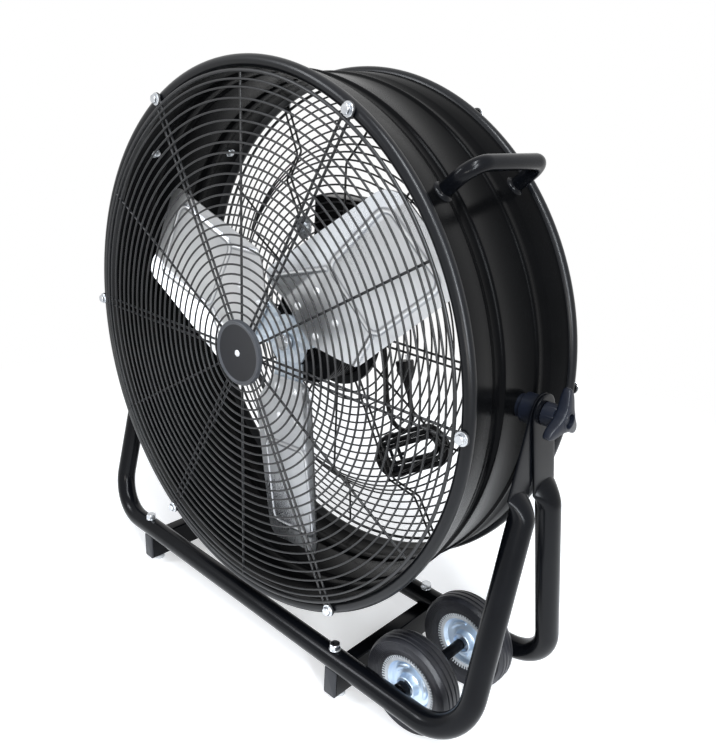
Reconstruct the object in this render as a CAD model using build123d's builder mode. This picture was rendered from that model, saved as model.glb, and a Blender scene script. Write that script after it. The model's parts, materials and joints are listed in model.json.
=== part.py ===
"""Drum fan in a tilting tube stand: a rolled sheet drum between two wire grilles, a three-blade
aluminium fan on a motor carried by the rear grille, two tube hoops that cross at the pivots,
two wheels on one side and a coiled mains lead behind the grille.

Millimetres. X is the pivot axis, Y runs from the front to the rear, Z is up, the floor is z = 0.
"""

from build123d import *
from math import atan2, cos, hypot, pi, radians, sin, tan
import os

os.makedirs("parts", exist_ok=True)

# ------------------------------------------------------------------ driving sizes
# drum
band_r = 318.0          # outside of the plain middle band
bead_out = 5.0          # middle of the rolled bead outside the band
bead_half = 7.0         # half the thickness of the bead
bead_pitch = 189.0      # from the middle of one bead to the middle of the other
sheet = 2.0             # drum wall
rib_rise = 3.2          # pressed rib beside the band
rib_in, rib_out = 27.0, 36.0    # where the rib starts and ends, from the mid plane
step_in, step_out = 44.7, 55.6  # step out to the flare
step_rise = 4.0

# pivot
drum_clear = 19.0       # from the lower runs of the hoops up to the beads
axis_drop = 3.0         # drum axis below the tilt axis
pivot_back = 5.5        # tilt axis behind the mid plane of the drum
sleeve_r = 16.0
sleeve_long = 20.7      # sleeve outside the band
stud_r = 5.0
stud_out = 32.3         # stud past the sleeve
run_fit = 0.075         # radial clearance of a turning fit
rest_gap = 0.3          # between faces that move past each other
press_fit = 0.02        # radial clearance of a pressed fit, and under the blades
stud_seat = 15.0        # length of stud inside the sleeve
screw_r, screw_high = 8.0, 4.0  # screw head inside the drum
screw_gap = 0.3         # between that head and the drum wall

# grilles
wire = 3.0              # spoke wires
ring_wire = 2.4         # ring wires
n_pairs = 6             # double spokes
pair_hub = 3.5          # half the distance of the two wires at the hub
pair_rim = 4.75         # and at the rim bolt
outer_ring_in = 10.0    # outer ring inside the middle of the bead
outer_ring_w = 4.0
edge_ring_in = 8.5      # first thin ring inside the outer ring
next_ring_in = 16.5     # second thin ring inside the outer ring
front_pitch = 11.27     # between the rings from there on
coarse_from = 155.0     # rings larger than this have more sides
n_big, n_small, n_lean = 16, 10, 24  # sides of the rings
disc_r = 40.0           # hub disc in front of the grille
disc_thick = 7.0
disc_rim = 4.0          # width of its raised rim
disc_dish = 1.6
rivet_r = 4.0
rivet_high = 1.2
bolt_af = 10.0          # rim bolts, across flats
bolt_high = 5.0

# rear grille, dished in to the motor
dish_rim_in = 61.0      # rim of the dish inside the outer ring
dish_slope_in = 37.0    # and from there in to the flat
dish_rim_d = 98.5       # distance of the wire middle from the mid plane at dish_rim_r
dish_flat_d = 63.0      # and on the flat
flange_bolt_in = 8.0    # bolts of the motor flange inside its edge
rear_pair = 4.5
rear_pitch = 11.0
n_slope_rings = 4

# motor
flange_r = 76.0
flange_thick = 6.0
body_r = 62.0
nose_r = 48.0
nose_d = -9.5           # front of the motor from the mid plane
body_d = 0.0
body_end_d = 52.0
shaft_r = 7.0
shaft_in = 20.0         # length of shaft inside the motor
shaft_front = 14.0      # shaft past the spider

# fan
blade_angle = 36.9
n_blades = 3
blade_sheet = 2.0
pitch = 9.0
bend = 19.5             # leading flange against the main plate
bend_at = 42.0
bend_r = 12.0
plate_rise = 11.2       # main plate in front of the hub plane, at the span axis
hub_d = -29.5           # hub plane from the mid plane
root_s = 45.0
tip_gap = 31.0          # trailing tip inside the band
tip_slant = 16.0        # leading tip inside the trailing one
chord_mid = 68.4        # half chord at taper_s
taper_s = 190.0
taper = 0.063
tip_corner = 20.0
root_cut_s, root_cut_c = 47.0, -22.0   # slanted trailing corner at the root
spider_sheet = 3.0
spider_r = 34.0
arm_from, arm_flat, arm_to = 28.0, 54.0, 110.0
arm_low, arm_high = -30.0, 36.0
arm_root_w = 48.0        # width of the arm where it leaves the hub
collar_r, collar_gap = 17.0, 3.0

# stand
tube_r = 14.0
n_tube = 12
hoop_reach = 90.6       # bottom run in front of or behind the tilt axis
leg_out = 11.0          # middle of the leg outside the inner flat's face
corner_r = 62.0
flat_thick = 3.5
flat_wide = 40.0
flat_long = 85.0
press_long = 26.0
bar_w, bar_h, bar_z = 20.0, 40.0, 8.0
bar_wall = 2.0
bar_long = 190.0
cap_thick = 3.0
cap_plug, cap_ease = 8.0, 0.2   # the cap's plug in the tube, and its play
bar_left_in, bar_right_in = 93.0, 193.0  # cross bars from the legs
foot_r = 8.0
foot_in = 16.0          # feet from the end of the bar
frame_bolt_af = 13.0
frame_bolt_high = 8.0

# wheels
wheel_r = 62.5
wheel_in = 99.0         # axle from the leg
tyre_w = 31.0
tyre_shoulder = 6.0
rim_r = 45.0
rim_w = 22.0
rim_dish = 6.5
hub_r = 11.0
hub_long = 30.0
axle_r = 6.0
collar_out_r = 10.0
front_collar = 9.0
rear_washer = 1.2
spacer_r = 8.5

# knobs
boss_r = 12.5
boss_long = 12.0
lobe_thick = 15.5
lobe_reach = 32.0
lobe_r = 8.0
lobe_turn = 83.7

# handles
handle_angle = 41.0
handle_r = 8.0
n_handle = 8
grip_out = 47.0         # middle of the grip outside the band
handle_half = 62.0
handle_bend = 24.0

# control box
box_w, box_h, box_deep = 120.0, 75.0, 48.0
box_low = 95.0          # lower face above the drum axis
dial_r, dial_high, dial_gap = 18.0, 14.0, 0.3
dial_pin_r = 4.0
dial_bar, dial_bar_high = 9.0, 8.0
dial_bore, dial_pin_long = 10.0, 9.5
box_gap = 0.2           # from the rear rings to the box

# mains lead
cord_r = 3.25
n_cord = 5
cord_d = 85.0           # plane of the lead, from the mid plane
gland_r, gland_long = 6.5, 12.0
gland_x = 48.0
hank_x, hank_z = 118.0, -150.0      # middle of the hank from the drum axis
hank_turn = 32.0        # slope of the hank
hank_run = 80.0         # straight part of its loops
hank_out = 28.0         # outer run from the middle line
hank_pitch = 7.2        # between neighbouring turns
n_folds = 5          # half turns in each layer
n_layers = 2
lead_join, tail_leave = 28.0, 20.0  # where lead and tail join the upper runs
tie_at = 29.0
tie_w, tie_wall, tie_gap = 6.0, 1.2, 0.3
plug_long, plug_w, plug_deep = 30.0, 24.0, 18.0
pin_long, pin_w, pin_thick, pin_apart = 8.0, 6.0, 1.5, 12.0
plug_taper = 0.45       # share of the plug's length that widens

# ------------------------------------------------------------------ derived places
bead_r = band_r + bead_out
sleeve_end = band_r + sleeve_long
stud_end = sleeve_end + stud_out
flat_x = sleeve_end + rest_gap          # inner face of the inner flat
leg_x = flat_x + leg_out
bar_left_x, bar_right_x = bar_left_in - leg_x, leg_x - bar_right_in
wheel_x = leg_x - wheel_in
grip_r = band_r + grip_out
outer_ring_r = bead_r - outer_ring_in
dish_rim_r = outer_ring_r - dish_rim_in
rear_in_r = flange_r - flange_bolt_in
dish_flat_r = dish_rim_r - dish_slope_in
tip_s_trail = band_r - tip_gap
tip_s_lead = tip_s_trail - tip_slant
half = bead_pitch / 2
front_face_d = -(half + bead_half)
rear_face_d = half + bead_half
disc_front_d = front_face_d - wire - disc_thick
ring_back_d = dish_flat_d + wire / 2 + ring_wire
box_front_d = ring_back_d + box_gap
box_back_d = box_front_d + box_deep
stand_front = pivot_back - hoop_reach - tube_r
stand_rear = pivot_back + hoop_reach + tube_r
most_front = min(disc_front_d - rivet_high, stand_front)
most_rear = max(box_back_d + dial_gap + dial_high, stand_rear)
mid_y = -(most_front + most_rear) / 2
hoop_z = bar_z + bar_h + tube_r
axis_z = hoop_z + tube_r + drum_clear + bead_r + bead_half
pivot_z = axis_z + axis_drop
pivot_y = mid_y + pivot_back
drum_axis = Axis((0, mid_y, axis_z), (0, 1, 0))
drum_mid = Plane(origin=(0, mid_y, axis_z))


def face_plane(d):
    """Plane across the drum axis at distance d from the mid plane, seen from the front."""
    return Plane(origin=(0, mid_y + d, axis_z), x_dir=(1, 0, 0), z_dir=(0, -1, 0))


def polar(r, a):
    return (r * cos(radians(a)), r * sin(radians(a)))


def radial_plane(a, off=0.0):
    """Plane through the drum axis at angle a, shifted across by off: x outward, y to the rear."""
    ex = Vector(cos(radians(a)), 0, sin(radians(a)))
    et = Vector(-sin(radians(a)), 0, cos(radians(a)))
    return Plane(origin=Vector(0, mid_y, axis_z) + et * off, x_dir=ex, z_dir=ex.cross(Vector(0, 1, 0)))


# ------------------------------------------------------------------ drum
flare_foot = band_r + step_rise
bead_low = half - bead_half
shell_half = [(band_r - sheet, step_in), (bead_r - 1.5, bead_low), (bead_r - bead_half, half),
              (bead_r - bead_half / 2, rear_face_d), (bead_r + bead_half / 2, rear_face_d),
              (bead_r + bead_half, half), (bead_r + 1.5, bead_low), (flare_foot, step_out),
              (band_r, step_in), (band_r, rib_out), (band_r + rib_rise, (rib_in + rib_out) / 2),
              (band_r, rib_in)]
flare_half = shell_half[:9]
band_half = shell_half[:1] + shell_half[8:]
with BuildPart() as drum_band:
    with BuildSketch(drum_mid):
        Polygon(*band_half, *[(r, -d) for r, d in band_half[::-1]], align=None)
    revolve(axis=drum_axis)
drum_band.part.label = "drum_band"
export_step(drum_band.part, "parts/drum_band.step")

for name, side in (("front_flare", -1), ("rear_flare", 1)):
    with BuildPart() as flare:
        with BuildSketch(drum_mid):
            Polygon(*[(r, side * d) for r, d in flare_half], align=None)
        revolve(axis=drum_axis)
    flare.part.label = name
    export_step(flare.part, "parts/%s.step" % name)

# solid that fills the drum out to its outer skin, to seat what is fixed on it
with BuildPart() as drum_core:
    with BuildSketch(drum_mid):
        core_half = [(0, bead_low)] + shell_half[6:]
        Polygon(*core_half, *[(r, -d) for r, d in core_half[::-1]], align=None)
    revolve(axis=drum_axis)

# ------------------------------------------------------------------ grilles
def wire_ring(r, d, lean=0.0, toward=-1):
    """Closed ring of a three-sided wire; its flat back lies at d and leans by lean (radians)."""
    n = n_lean if lean else n_big if r > coarse_from else n_small
    rv = r if lean else 2 * r / (1 + cos(pi / n))
    with BuildPart() as ring:
        with BuildLine(face_plane(d)) as path:
            Polyline(*[polar(rv, 360 * k / n) for k in range(n)], close=True)
        start = path.line @ (0.5 / n)
        out = Vector(start.X, 0, start.Z - axis_z).normalized()
        rear = Vector(0, 1, 0)
        flat = out * cos(lean) + rear * sin(lean)
        up = (rear * cos(lean) - out * sin(lean)) * toward
        with BuildSketch(Plane(origin=start, x_dir=flat, z_dir=flat.cross(up))):
            Polygon((-ring_wire / 2, 0), (ring_wire / 2, 0), (0, ring_wire), align=None)
        sweep(path=path.line, transition=Transition.RIGHT)
    return ring.part


def turned(points, a):
    """Points of a flat outline turned by a degrees."""
    return [(x * cos(radians(a)) - y * sin(radians(a)), x * sin(radians(a)) + y * cos(radians(a)))
            for x, y in points]


def cap(r, p, h):
    """Corner points of the turned end of a double spoke, on one side of its wire."""
    q = p + h
    return [(r, q), (r + 0.85 * q, q / 2), (r + 0.85 * q, -q / 2), (r, -q)]


few_ring = (RegularPolygon(outer_ring_r + outer_ring_w / 2, 24, mode=Mode.PRIVATE)
            - RegularPolygon(outer_ring_r - outer_ring_w / 2, 24, mode=Mode.PRIVATE))
hub_plate_r = disc_r - 6
with BuildPart() as front_grille_spokes:
    with BuildSketch(face_plane(front_face_d)):
        for k in range(n_pairs):
            h = wire / 2
            outline = ([(hub_plate_r - 2, pair_hub + h)] + cap(bead_r, pair_rim, h)
                       + [(hub_plate_r - 2, -pair_hub - h), (hub_plate_r - 2, -pair_hub + h)]
                       + cap(bead_r, pair_rim, -h)[::-1] + [(hub_plate_r - 2, pair_hub - h)])
            Polygon(*turned(outline, 360 * k / n_pairs), align=None)
            a = 360 * (k + 0.5) / n_pairs
            Polygon(*turned([(hub_plate_r - 2, h), (outer_ring_r, h), (outer_ring_r, -h),
                             (hub_plate_r - 2, -h)], a), align=None)
        RegularPolygon(hub_plate_r, 24)
        add(few_ring)
    extrude(amount=wire)
front_grille_spokes.part.label = "front_grille_spokes"
export_step(front_grille_spokes.part, "parts/front_grille_spokes.step")

front_list = [outer_ring_r - edge_ring_in]
r = outer_ring_r - next_ring_in
while r > disc_r + ring_wire:
    front_list.append(r)
    r -= front_pitch
front_rings = Compound(label="front_grille_rings",
                       children=[wire_ring(r, front_face_d - wire) for r in front_list])
export_step(front_rings, "parts/front_grille_rings.step")

with BuildPart() as front_disc:
    with BuildSketch(drum_mid):
        with BuildLine():
            Polyline((0, front_face_d - wire), (disc_r, front_face_d - wire),
                     (disc_r, disc_front_d + 1.5), (disc_r - 1.5, disc_front_d),
                     (disc_r - disc_rim, disc_front_d),
                     (disc_r - disc_rim - 1, disc_front_d + disc_dish), (0, disc_front_d + disc_dish),
                     close=True)
        make_face()
    revolve(axis=drum_axis)
front_disc.part.label = "front_disc"
export_step(front_disc.part, "parts/front_disc.step")

with BuildPart() as disc_rivet:
    with BuildSketch(face_plane(disc_front_d + disc_dish)):
        RegularPolygon(rivet_r, 12)
    extrude(amount=disc_dish + rivet_high)
disc_rivet.part.label = "disc_rivet"
export_step(disc_rivet.part, "parts/disc_rivet.step")

with BuildPart() as front_grille_bolts:
    with BuildSketch(face_plane(front_face_d - wire)):
        with PolarLocations(bead_r, n_pairs):
            RegularPolygon(bolt_af / 2, 6, major_radius=False)
    extrude(amount=bolt_high)
front_grille_bolts.part.label = "front_grille_bolts"
export_step(front_grille_bolts.part, "parts/front_grille_bolts.step")

# rear grille: every wire follows the dish
rim_wire_d = rear_face_d + wire / 2
dish_line = [(rear_in_r, dish_flat_d), (dish_flat_r, dish_flat_d), (dish_rim_r, dish_rim_d),
             (bead_r - bead_half, rim_wire_d), (bead_r, rim_wire_d)]
with BuildPart() as rear_grille_spokes:
    for k in range(n_pairs):
        for off in (-rear_pair, rear_pair):
            with BuildSketch(radial_plane(360 * k / n_pairs, off)):
                with BuildLine():
                    Polyline(*dish_line)
                trace(line_width=wire)
            extrude(amount=wire / 2, both=True)
        with BuildSketch(radial_plane(360 * (k + 0.5) / n_pairs)):
            with BuildLine():
                Polyline(*dish_line[:-1])
            trace(line_width=wire)
        extrude(amount=wire / 2, both=True)
    with BuildSketch(face_plane(rim_wire_d)):
        add(few_ring)
        for k in range(n_pairs):
            h = wire / 2
            Polygon(*turned(cap(bead_r, rear_pair, h) + cap(bead_r, rear_pair, -h)[::-1],
                            360 * k / n_pairs), align=None)
    extrude(amount=wire / 2, both=True)
    with BuildSketch(face_plane(dish_flat_d)):
        for k in range(n_pairs):
            h = wire / 2
            end = cap(0, rear_pair, h) + cap(0, rear_pair, -h)[::-1]
            Polygon(*turned([(rear_in_r - x, y) for x, y in end], 360 * k / n_pairs), align=None)
    extrude(amount=wire / 2, both=True)
rear_grille_spokes.part.label = "rear_grille_spokes"
export_step(rear_grille_spokes.part, "parts/rear_grille_spokes.step")

slope = atan2(dish_rim_d - dish_flat_d, dish_rim_r - dish_flat_r)
rear_list = []
r = dish_flat_r - 5
while r > flange_r + 1:
    rear_list.append((r, dish_flat_d + wire / 2, 0.0))
    r -= rear_pitch
for k in range(n_slope_rings):
    f = (k + 0.6) / n_slope_rings
    rear_list.append((dish_flat_r + f * (dish_rim_r - dish_flat_r) - sin(slope) * wire / 2,
                      dish_flat_d + f * (dish_rim_d - dish_flat_d) + cos(slope) * wire / 2, slope))
rim_slope = atan2(rim_wire_d - dish_rim_d, bead_r - bead_half - dish_rim_r)
r = dish_rim_r + 7
while r < outer_ring_r - outer_ring_w - ring_wire:
    rear_list.append((r - sin(rim_slope) * wire / 2,
                      dish_rim_d + (r - dish_rim_r) * tan(rim_slope) + cos(rim_slope) * wire / 2, rim_slope))
    r += rear_pitch
rear_rings = Compound(label="rear_grille_rings",
                      children=[wire_ring(r, d, lean, 1) for r, d, lean in rear_list])
export_step(rear_rings, "parts/rear_grille_rings.step")

with BuildPart() as rear_grille_bolts:
    with BuildSketch(face_plane(rim_wire_d + wire / 2)):
        with PolarLocations(bead_r, n_pairs):
            RegularPolygon(bolt_af / 2, 6, major_radius=False)
    extrude(amount=-bolt_high)
rear_grille_bolts.part.label = "rear_grille_bolts"
export_step(rear_grille_bolts.part, "parts/rear_grille_bolts.step")

# ------------------------------------------------------------------ motor
flange_back_d = dish_flat_d - wire / 2
with BuildPart() as motor:
    with BuildSketch(drum_mid):
        with BuildLine():
            Polyline((shaft_r + run_fit, nose_d), (nose_r, nose_d), (body_r, body_d), (body_r, body_end_d),
                     (flange_r, flange_back_d - flange_thick), (flange_r, flange_back_d),
                     (0, flange_back_d), (0, nose_d + shaft_in), (shaft_r + run_fit, nose_d + shaft_in),
                     close=True)
        make_face()
    revolve(axis=drum_axis)
motor.part.label = "motor"
export_step(motor.part, "parts/motor.step")

with BuildPart() as motor_bolts:
    with BuildSketch(face_plane(dish_flat_d + wire / 2)):
        with PolarLocations(rear_in_r, n_pairs):
            RegularPolygon(bolt_af / 2, 6, major_radius=False)
    extrude(amount=-bolt_high)
motor_bolts.part.label = "motor_bolts"
export_step(motor_bolts.part, "parts/motor_bolts.step")

# ------------------------------------------------------------------ fan
hub_point = Vector(0, mid_y + hub_d, axis_z)
front = Vector(0, -1, 0)
span_dirs = [Vector(cos(radians(a)), 0, sin(radians(a)))
             for a in (blade_angle + 360 * k / n_blades for k in range(n_blades))]


def span_frames(es):
    """Chord direction, flat hub frame and pitched plate frame for one span direction."""
    et = front.cross(es)
    t = et * cos(radians(pitch)) + front * sin(radians(pitch))
    flat = Plane(origin=hub_point, x_dir=es, z_dir=front)
    tilted = Plane(origin=hub_point + front * plate_rise, x_dir=es, z_dir=es.cross(t))
    return et, t, flat, tilted


def half_chord(s):
    return chord_mid - taper * (s - taper_s)


bend_c = bend_at / cos(radians(pitch))
blades = []
for es in span_dirs:
    et, t, flat, tilted = span_frames(es)
    with BuildPart() as blade:
        with BuildSketch(Plane(origin=tilted.origin, x_dir=t, z_dir=es)):
            with BuildLine():
                FilletPolyline((-chord_mid - 20, 0), (bend_c, 0),
                               (bend_c + 50 * cos(radians(bend)), 50 * sin(radians(bend))), radius=bend_r)
            trace(line_width=blade_sheet)
        extrude(amount=tip_s_trail + 20)
        with BuildSketch(flat.offset(-20)):
            with BuildLine():
                FilletPolyline((root_s, root_cut_c),
                               (root_s + root_cut_s, -half_chord(root_s + root_cut_s)),
                               (tip_s_trail, -half_chord(tip_s_trail)),
                               (tip_s_lead, half_chord(tip_s_lead)),
                               (root_s, half_chord(root_s)),
                               radius=[6, tip_corner, tip_corner, tip_corner, tip_corner], close=True)
            make_face()
        extrude(amount=90, mode=Mode.INTERSECT)
    blade.part.label = "blade_%d" % (len(blades) + 1)
    export_step(blade.part, "parts/%s.step" % blade.part.label)
    blades.append(blade)

arm_n = -(blade_sheet / 2 + press_fit + spider_sheet)
with BuildPart() as spider:
    with BuildSketch(face_plane(hub_d - spider_sheet / 2)):
        Circle(spider_r)
    extrude(amount=-spider_sheet)
    for es in span_dirs:
        et, t, flat, tilted = span_frames(es)
        with BuildSketch(Plane(origin=hub_point + es * arm_from, x_dir=et, z_dir=es)):
            Rectangle(arm_root_w, spider_sheet)
        with BuildSketch(Plane(origin=tilted.origin + es * arm_flat, x_dir=t, z_dir=es)):
            with Locations(((arm_low + arm_high) / 2, arm_n + spider_sheet / 2)):
                Rectangle(arm_high - arm_low, spider_sheet)
        loft()
        with BuildSketch(tilted.offset(arm_n)):
            with BuildLine():
                Polyline((arm_flat, arm_low), (arm_to - 9, arm_low + 3), (arm_to, arm_low + 13),
                         (arm_to, arm_high - 13), (arm_to - 9, arm_high - 3), (arm_flat, arm_high),
                         close=True)
            make_face()
        extrude(amount=spider_sheet)
    with BuildSketch(face_plane(hub_d - 10)):
        Circle(shaft_r + press_fit)
    extrude(amount=-20, mode=Mode.SUBTRACT)
spider.part.label = "spider"
export_step(spider.part, "parts/spider.step")

collar_d = hub_d + spider_sheet / 2
with BuildPart() as hub_collar:
    with BuildSketch(face_plane(collar_d)):
        RegularPolygon(collar_r, 16)
        Circle(shaft_r + press_fit, mode=Mode.SUBTRACT)
    extrude(amount=-(nose_d - collar_gap - collar_d))
hub_collar.part.label = "hub_collar"
export_step(hub_collar.part, "parts/hub_collar.step")

shaft_d = hub_d - spider_sheet / 2 - shaft_front
with BuildPart() as motor_shaft:
    with BuildSketch(face_plane(shaft_d)):
        Circle(shaft_r)
    extrude(amount=-(nose_d + shaft_in - rest_gap - shaft_d))
motor_shaft.part.label = "motor_shaft"
export_step(motor_shaft.part, "parts/motor_shaft.step")

# ------------------------------------------------------------------ pivots
with BuildPart() as pivot_sleeves:
    with BuildSketch(Plane(origin=(0, pivot_y, pivot_z), z_dir=(1, 0, 0))):
        RegularPolygon(sleeve_r, 12)
    extrude(amount=sleeve_end, both=True)
    add(drum_core.part, mode=Mode.SUBTRACT)
    with BuildSketch(Plane(origin=(sleeve_end - stud_seat, pivot_y, pivot_z), z_dir=(1, 0, 0))):
        Circle(stud_r)
    extrude(amount=stud_end - sleeve_end + stud_seat)
    with BuildSketch(Plane(origin=(stud_seat - sleeve_end, pivot_y, pivot_z), z_dir=(-1, 0, 0))):
        Circle(stud_r)
    extrude(amount=stud_end - sleeve_end + stud_seat)
pivot_sleeves.part.label = "pivot_sleeves"
export_step(pivot_sleeves.part, "parts/pivot_sleeves.step")

with BuildPart() as pivot_screws:
    screw_x = band_r - sheet - screw_gap - screw_high
    with BuildSketch(Plane(origin=(screw_x, pivot_y, pivot_z), z_dir=(1, 0, 0))):
        RegularPolygon(screw_r, 6, major_radius=False)
    extrude(amount=screw_high)
    mirror(about=Plane.YZ)
pivot_screws.part.label = "pivot_screws"
export_step(pivot_screws.part, "parts/pivot_screws.step")

# ------------------------------------------------------------------ stand
leg_long = hypot(hoop_reach, pivot_z - hoop_z)


def oval(a, b):
    """Outline of the tube, round or pressed flat, with half widths a and b."""
    return [(a * cos(2 * pi * k / n_tube), b * sin(2 * pi * k / n_tube)) for k in range(n_tube)]


def make_hoop(side, plate_x):
    """Hoop on the front (side -1) or rear (side 1); plate_x is the inner face of its flats."""
    up = Vector(0, -side * hoop_reach, pivot_z - hoop_z).normalized()
    frame = Plane(origin=(0, pivot_y, pivot_z), x_dir=(1, 0, 0), z_dir=Vector(1, 0, 0).cross(up))
    across = up.cross(Vector(1, 0, 0))
    press_to = -(flat_long + press_long)
    with BuildPart() as hoop:
        with BuildLine(frame) as path:
            FilletPolyline((0, -leg_long), (leg_x, -leg_long), (leg_x, press_to), radius=corner_r)
        with BuildSketch(Plane(origin=path.line @ 0, x_dir=frame.z_dir, z_dir=path.line % 0)):
            RegularPolygon(tube_r, n_tube)
        sweep(path=path.line)
        with BuildSketch(Plane(origin=path.line @ 1, x_dir=(1, 0, 0), z_dir=up)):
            Polygon(*oval(tube_r, tube_r), align=None)
        with BuildSketch(Plane(origin=frame.from_local_coords((plate_x + flat_thick / 2, -flat_long, 0)),
                               x_dir=(1, 0, 0), z_dir=up)):
            Polygon(*oval(flat_thick / 2, flat_wide / 2), align=None)
        loft(ruled=True)
        with BuildSketch(Plane(origin=(plate_x, pivot_y, pivot_z), x_dir=across, z_dir=(1, 0, 0))):
            Circle(flat_wide / 2)
            with Locations((0, -flat_long / 2)):
                Rectangle(flat_wide, flat_long)
            Circle(stud_r + run_fit, mode=Mode.SUBTRACT)
        extrude(amount=flat_thick)
        mirror(about=Plane.YZ)
    return hoop


front_hoop = make_hoop(-1, flat_x)
front_hoop.part.label = "front_hoop"
export_step(front_hoop.part, "parts/front_hoop.step")
rear_hoop = make_hoop(1, flat_x + flat_thick)
rear_hoop.part.label = "rear_hoop"
export_step(rear_hoop.part, "parts/rear_hoop.step")

bar_mid_z = bar_z + bar_h / 2
for name, x in (("left_cross_bar", bar_left_x), ("right_cross_bar", bar_right_x)):
    with BuildPart() as bar:
        with BuildSketch(Plane(origin=(x, pivot_y, bar_mid_z), z_dir=(0, -1, 0), x_dir=(1, 0, 0))):
            Rectangle(bar_w, bar_h)
            Rectangle(bar_w - 2 * bar_wall, bar_h - 2 * bar_wall, mode=Mode.SUBTRACT)
        extrude(amount=bar_long / 2, both=True)
    bar.part.label = name
    export_step(bar.part, "parts/%s.step" % name)

with BuildPart() as bar_end_caps:
    for x in (bar_left_x, bar_right_x):
        for side in (-1, 1):
            end = Plane(origin=(x, pivot_y + side * bar_long / 2, bar_mid_z), x_dir=(1, 0, 0),
                        z_dir=(0, side, 0))
            with BuildSketch(end):
                Rectangle(bar_w, bar_h)
            extrude(amount=cap_thick)
            with BuildSketch(end):
                Rectangle(bar_w - 2 * bar_wall - cap_ease, bar_h - 2 * bar_wall - cap_ease)
            extrude(amount=-cap_plug)
bar_end_caps.part.label = "bar_end_caps"
export_step(bar_end_caps.part, "parts/bar_end_caps.step")

with BuildPart() as glide_feet:
    with BuildSketch(Plane.XY):
        with Locations(*[(x, pivot_y + side * (bar_long / 2 - foot_in))
                         for x in (bar_left_x, bar_right_x) for side in (-1, 1)]):
            RegularPolygon(foot_r, 12)
    extrude(amount=bar_z)
glide_feet.part.label = "glide_feet"
export_step(glide_feet.part, "parts/glide_feet.step")

with BuildPart() as frame_bolts:
    with BuildSketch(Plane.XY.offset(hoop_z + tube_r)):
        with Locations(*[(x, pivot_y + side * hoop_reach)
                         for x in (bar_left_x, bar_right_x) for side in (-1, 1)]):
            RegularPolygon(frame_bolt_af / 2, 6, major_radius=False)
    extrude(amount=frame_bolt_high)
frame_bolts.part.label = "frame_bolts"
export_step(frame_bolts.part, "parts/frame_bolts.step")

# ------------------------------------------------------------------ wheels
axle_half = hoop_reach - tube_r
axle_line = Axis((wheel_x, pivot_y, wheel_r), (0, 1, 0))
front_wheel_y = -axle_half + front_collar + rest_gap + hub_long / 2
rear_wheel_y = axle_half - rear_washer - rest_gap - hub_long / 2
with BuildPart() as wheel_axle:
    with BuildSketch(Plane(origin=(wheel_x, pivot_y, wheel_r), z_dir=(0, 1, 0))):
        Circle(axle_r)
    extrude(amount=axle_half, both=True)
wheel_axle.part.label = "wheel_axle"
export_step(wheel_axle.part, "parts/wheel_axle.step")

with BuildPart() as axle_spacers:
    for a, b, r in ((-axle_half, -axle_half + front_collar, collar_out_r),
                    (front_wheel_y + hub_long / 2 + rest_gap, rear_wheel_y - hub_long / 2 - rest_gap,
                     spacer_r),
                    (axle_half - rear_washer, axle_half, collar_out_r)):
        with BuildSketch(Plane(origin=(wheel_x, pivot_y + a, wheel_r), z_dir=(0, 1, 0))):
            RegularPolygon(r, 12)
            RegularPolygon(axle_r + 0.05, 12, major_radius=False, mode=Mode.SUBTRACT)
        extrude(amount=b - a)
axle_spacers.part.label = "axle_spacers"
export_step(axle_spacers.part, "parts/axle_spacers.step")

for name, y in (("front", front_wheel_y), ("rear", rear_wheel_y)):
    with BuildPart() as tyre:
        with BuildSketch(Plane(origin=(wheel_x, pivot_y + y, wheel_r))):
            with BuildLine():
                Polyline((rim_r, -rim_w / 2), (wheel_r - tyre_shoulder, -tyre_w / 2),
                         (wheel_r, -tyre_w / 2 + tyre_shoulder), (wheel_r, tyre_w / 2 - tyre_shoulder),
                         (wheel_r - tyre_shoulder, tyre_w / 2), (rim_r, rim_w / 2), close=True)
            make_face()
        revolve(axis=axle_line)
    tyre.part.label = name + "_tyre"
    export_step(tyre.part, "parts/%s_tyre.step" % name)
    with BuildPart() as rim:
        with BuildSketch(Plane(origin=(wheel_x, pivot_y + y, wheel_r))):
            with BuildLine():
                Polyline((axle_r + run_fit, -hub_long / 2), (hub_r, -hub_long / 2),
                         (hub_r, -rim_w / 2 + rim_dish), (rim_r, -rim_w / 2),
                         (rim_r, rim_w / 2), (hub_r, rim_w / 2 - rim_dish),
                         (hub_r, hub_long / 2), (axle_r + run_fit, hub_long / 2), close=True)
            make_face()
        revolve(axis=axle_line)
    rim.part.label = name + "_rim"
    export_step(rim.part, "parts/%s_rim.step" % name)

# ------------------------------------------------------------------ knobs
knob_x = flat_x + 2 * flat_thick + rest_gap
for name, side in (("right_knob", 1), ("left_knob", -1)):
    with BuildPart() as knob:
        base = Plane(origin=(side * knob_x, pivot_y, pivot_z), x_dir=(0, 1, 0), z_dir=(side, 0, 0))
        with BuildSketch(base):
            RegularPolygon(boss_r, 16)
        extrude(amount=boss_long)
        with BuildSketch(base.offset(boss_long)):
            RegularPolygon(boss_r + 4, 12)
            for k in range(3):
                a = side * (lobe_turn + 120 * k)
                e = lobe_reach
                Polygon(*turned([(0, lobe_r + 2), (e - lobe_r, lobe_r), (e - 2, lobe_r / 2), (e, 0),
                                 (e - 2, -lobe_r / 2), (e - lobe_r, -lobe_r), (0, -lobe_r - 2)], a),
                        align=None)
        extrude(amount=lobe_thick)
        with BuildSketch(base):
            Circle(stud_r + run_fit)
        extrude(amount=boss_long + lobe_thick, mode=Mode.SUBTRACT)
    knob.part.label = name
    export_step(knob.part, "parts/%s.step" % name)

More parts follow.
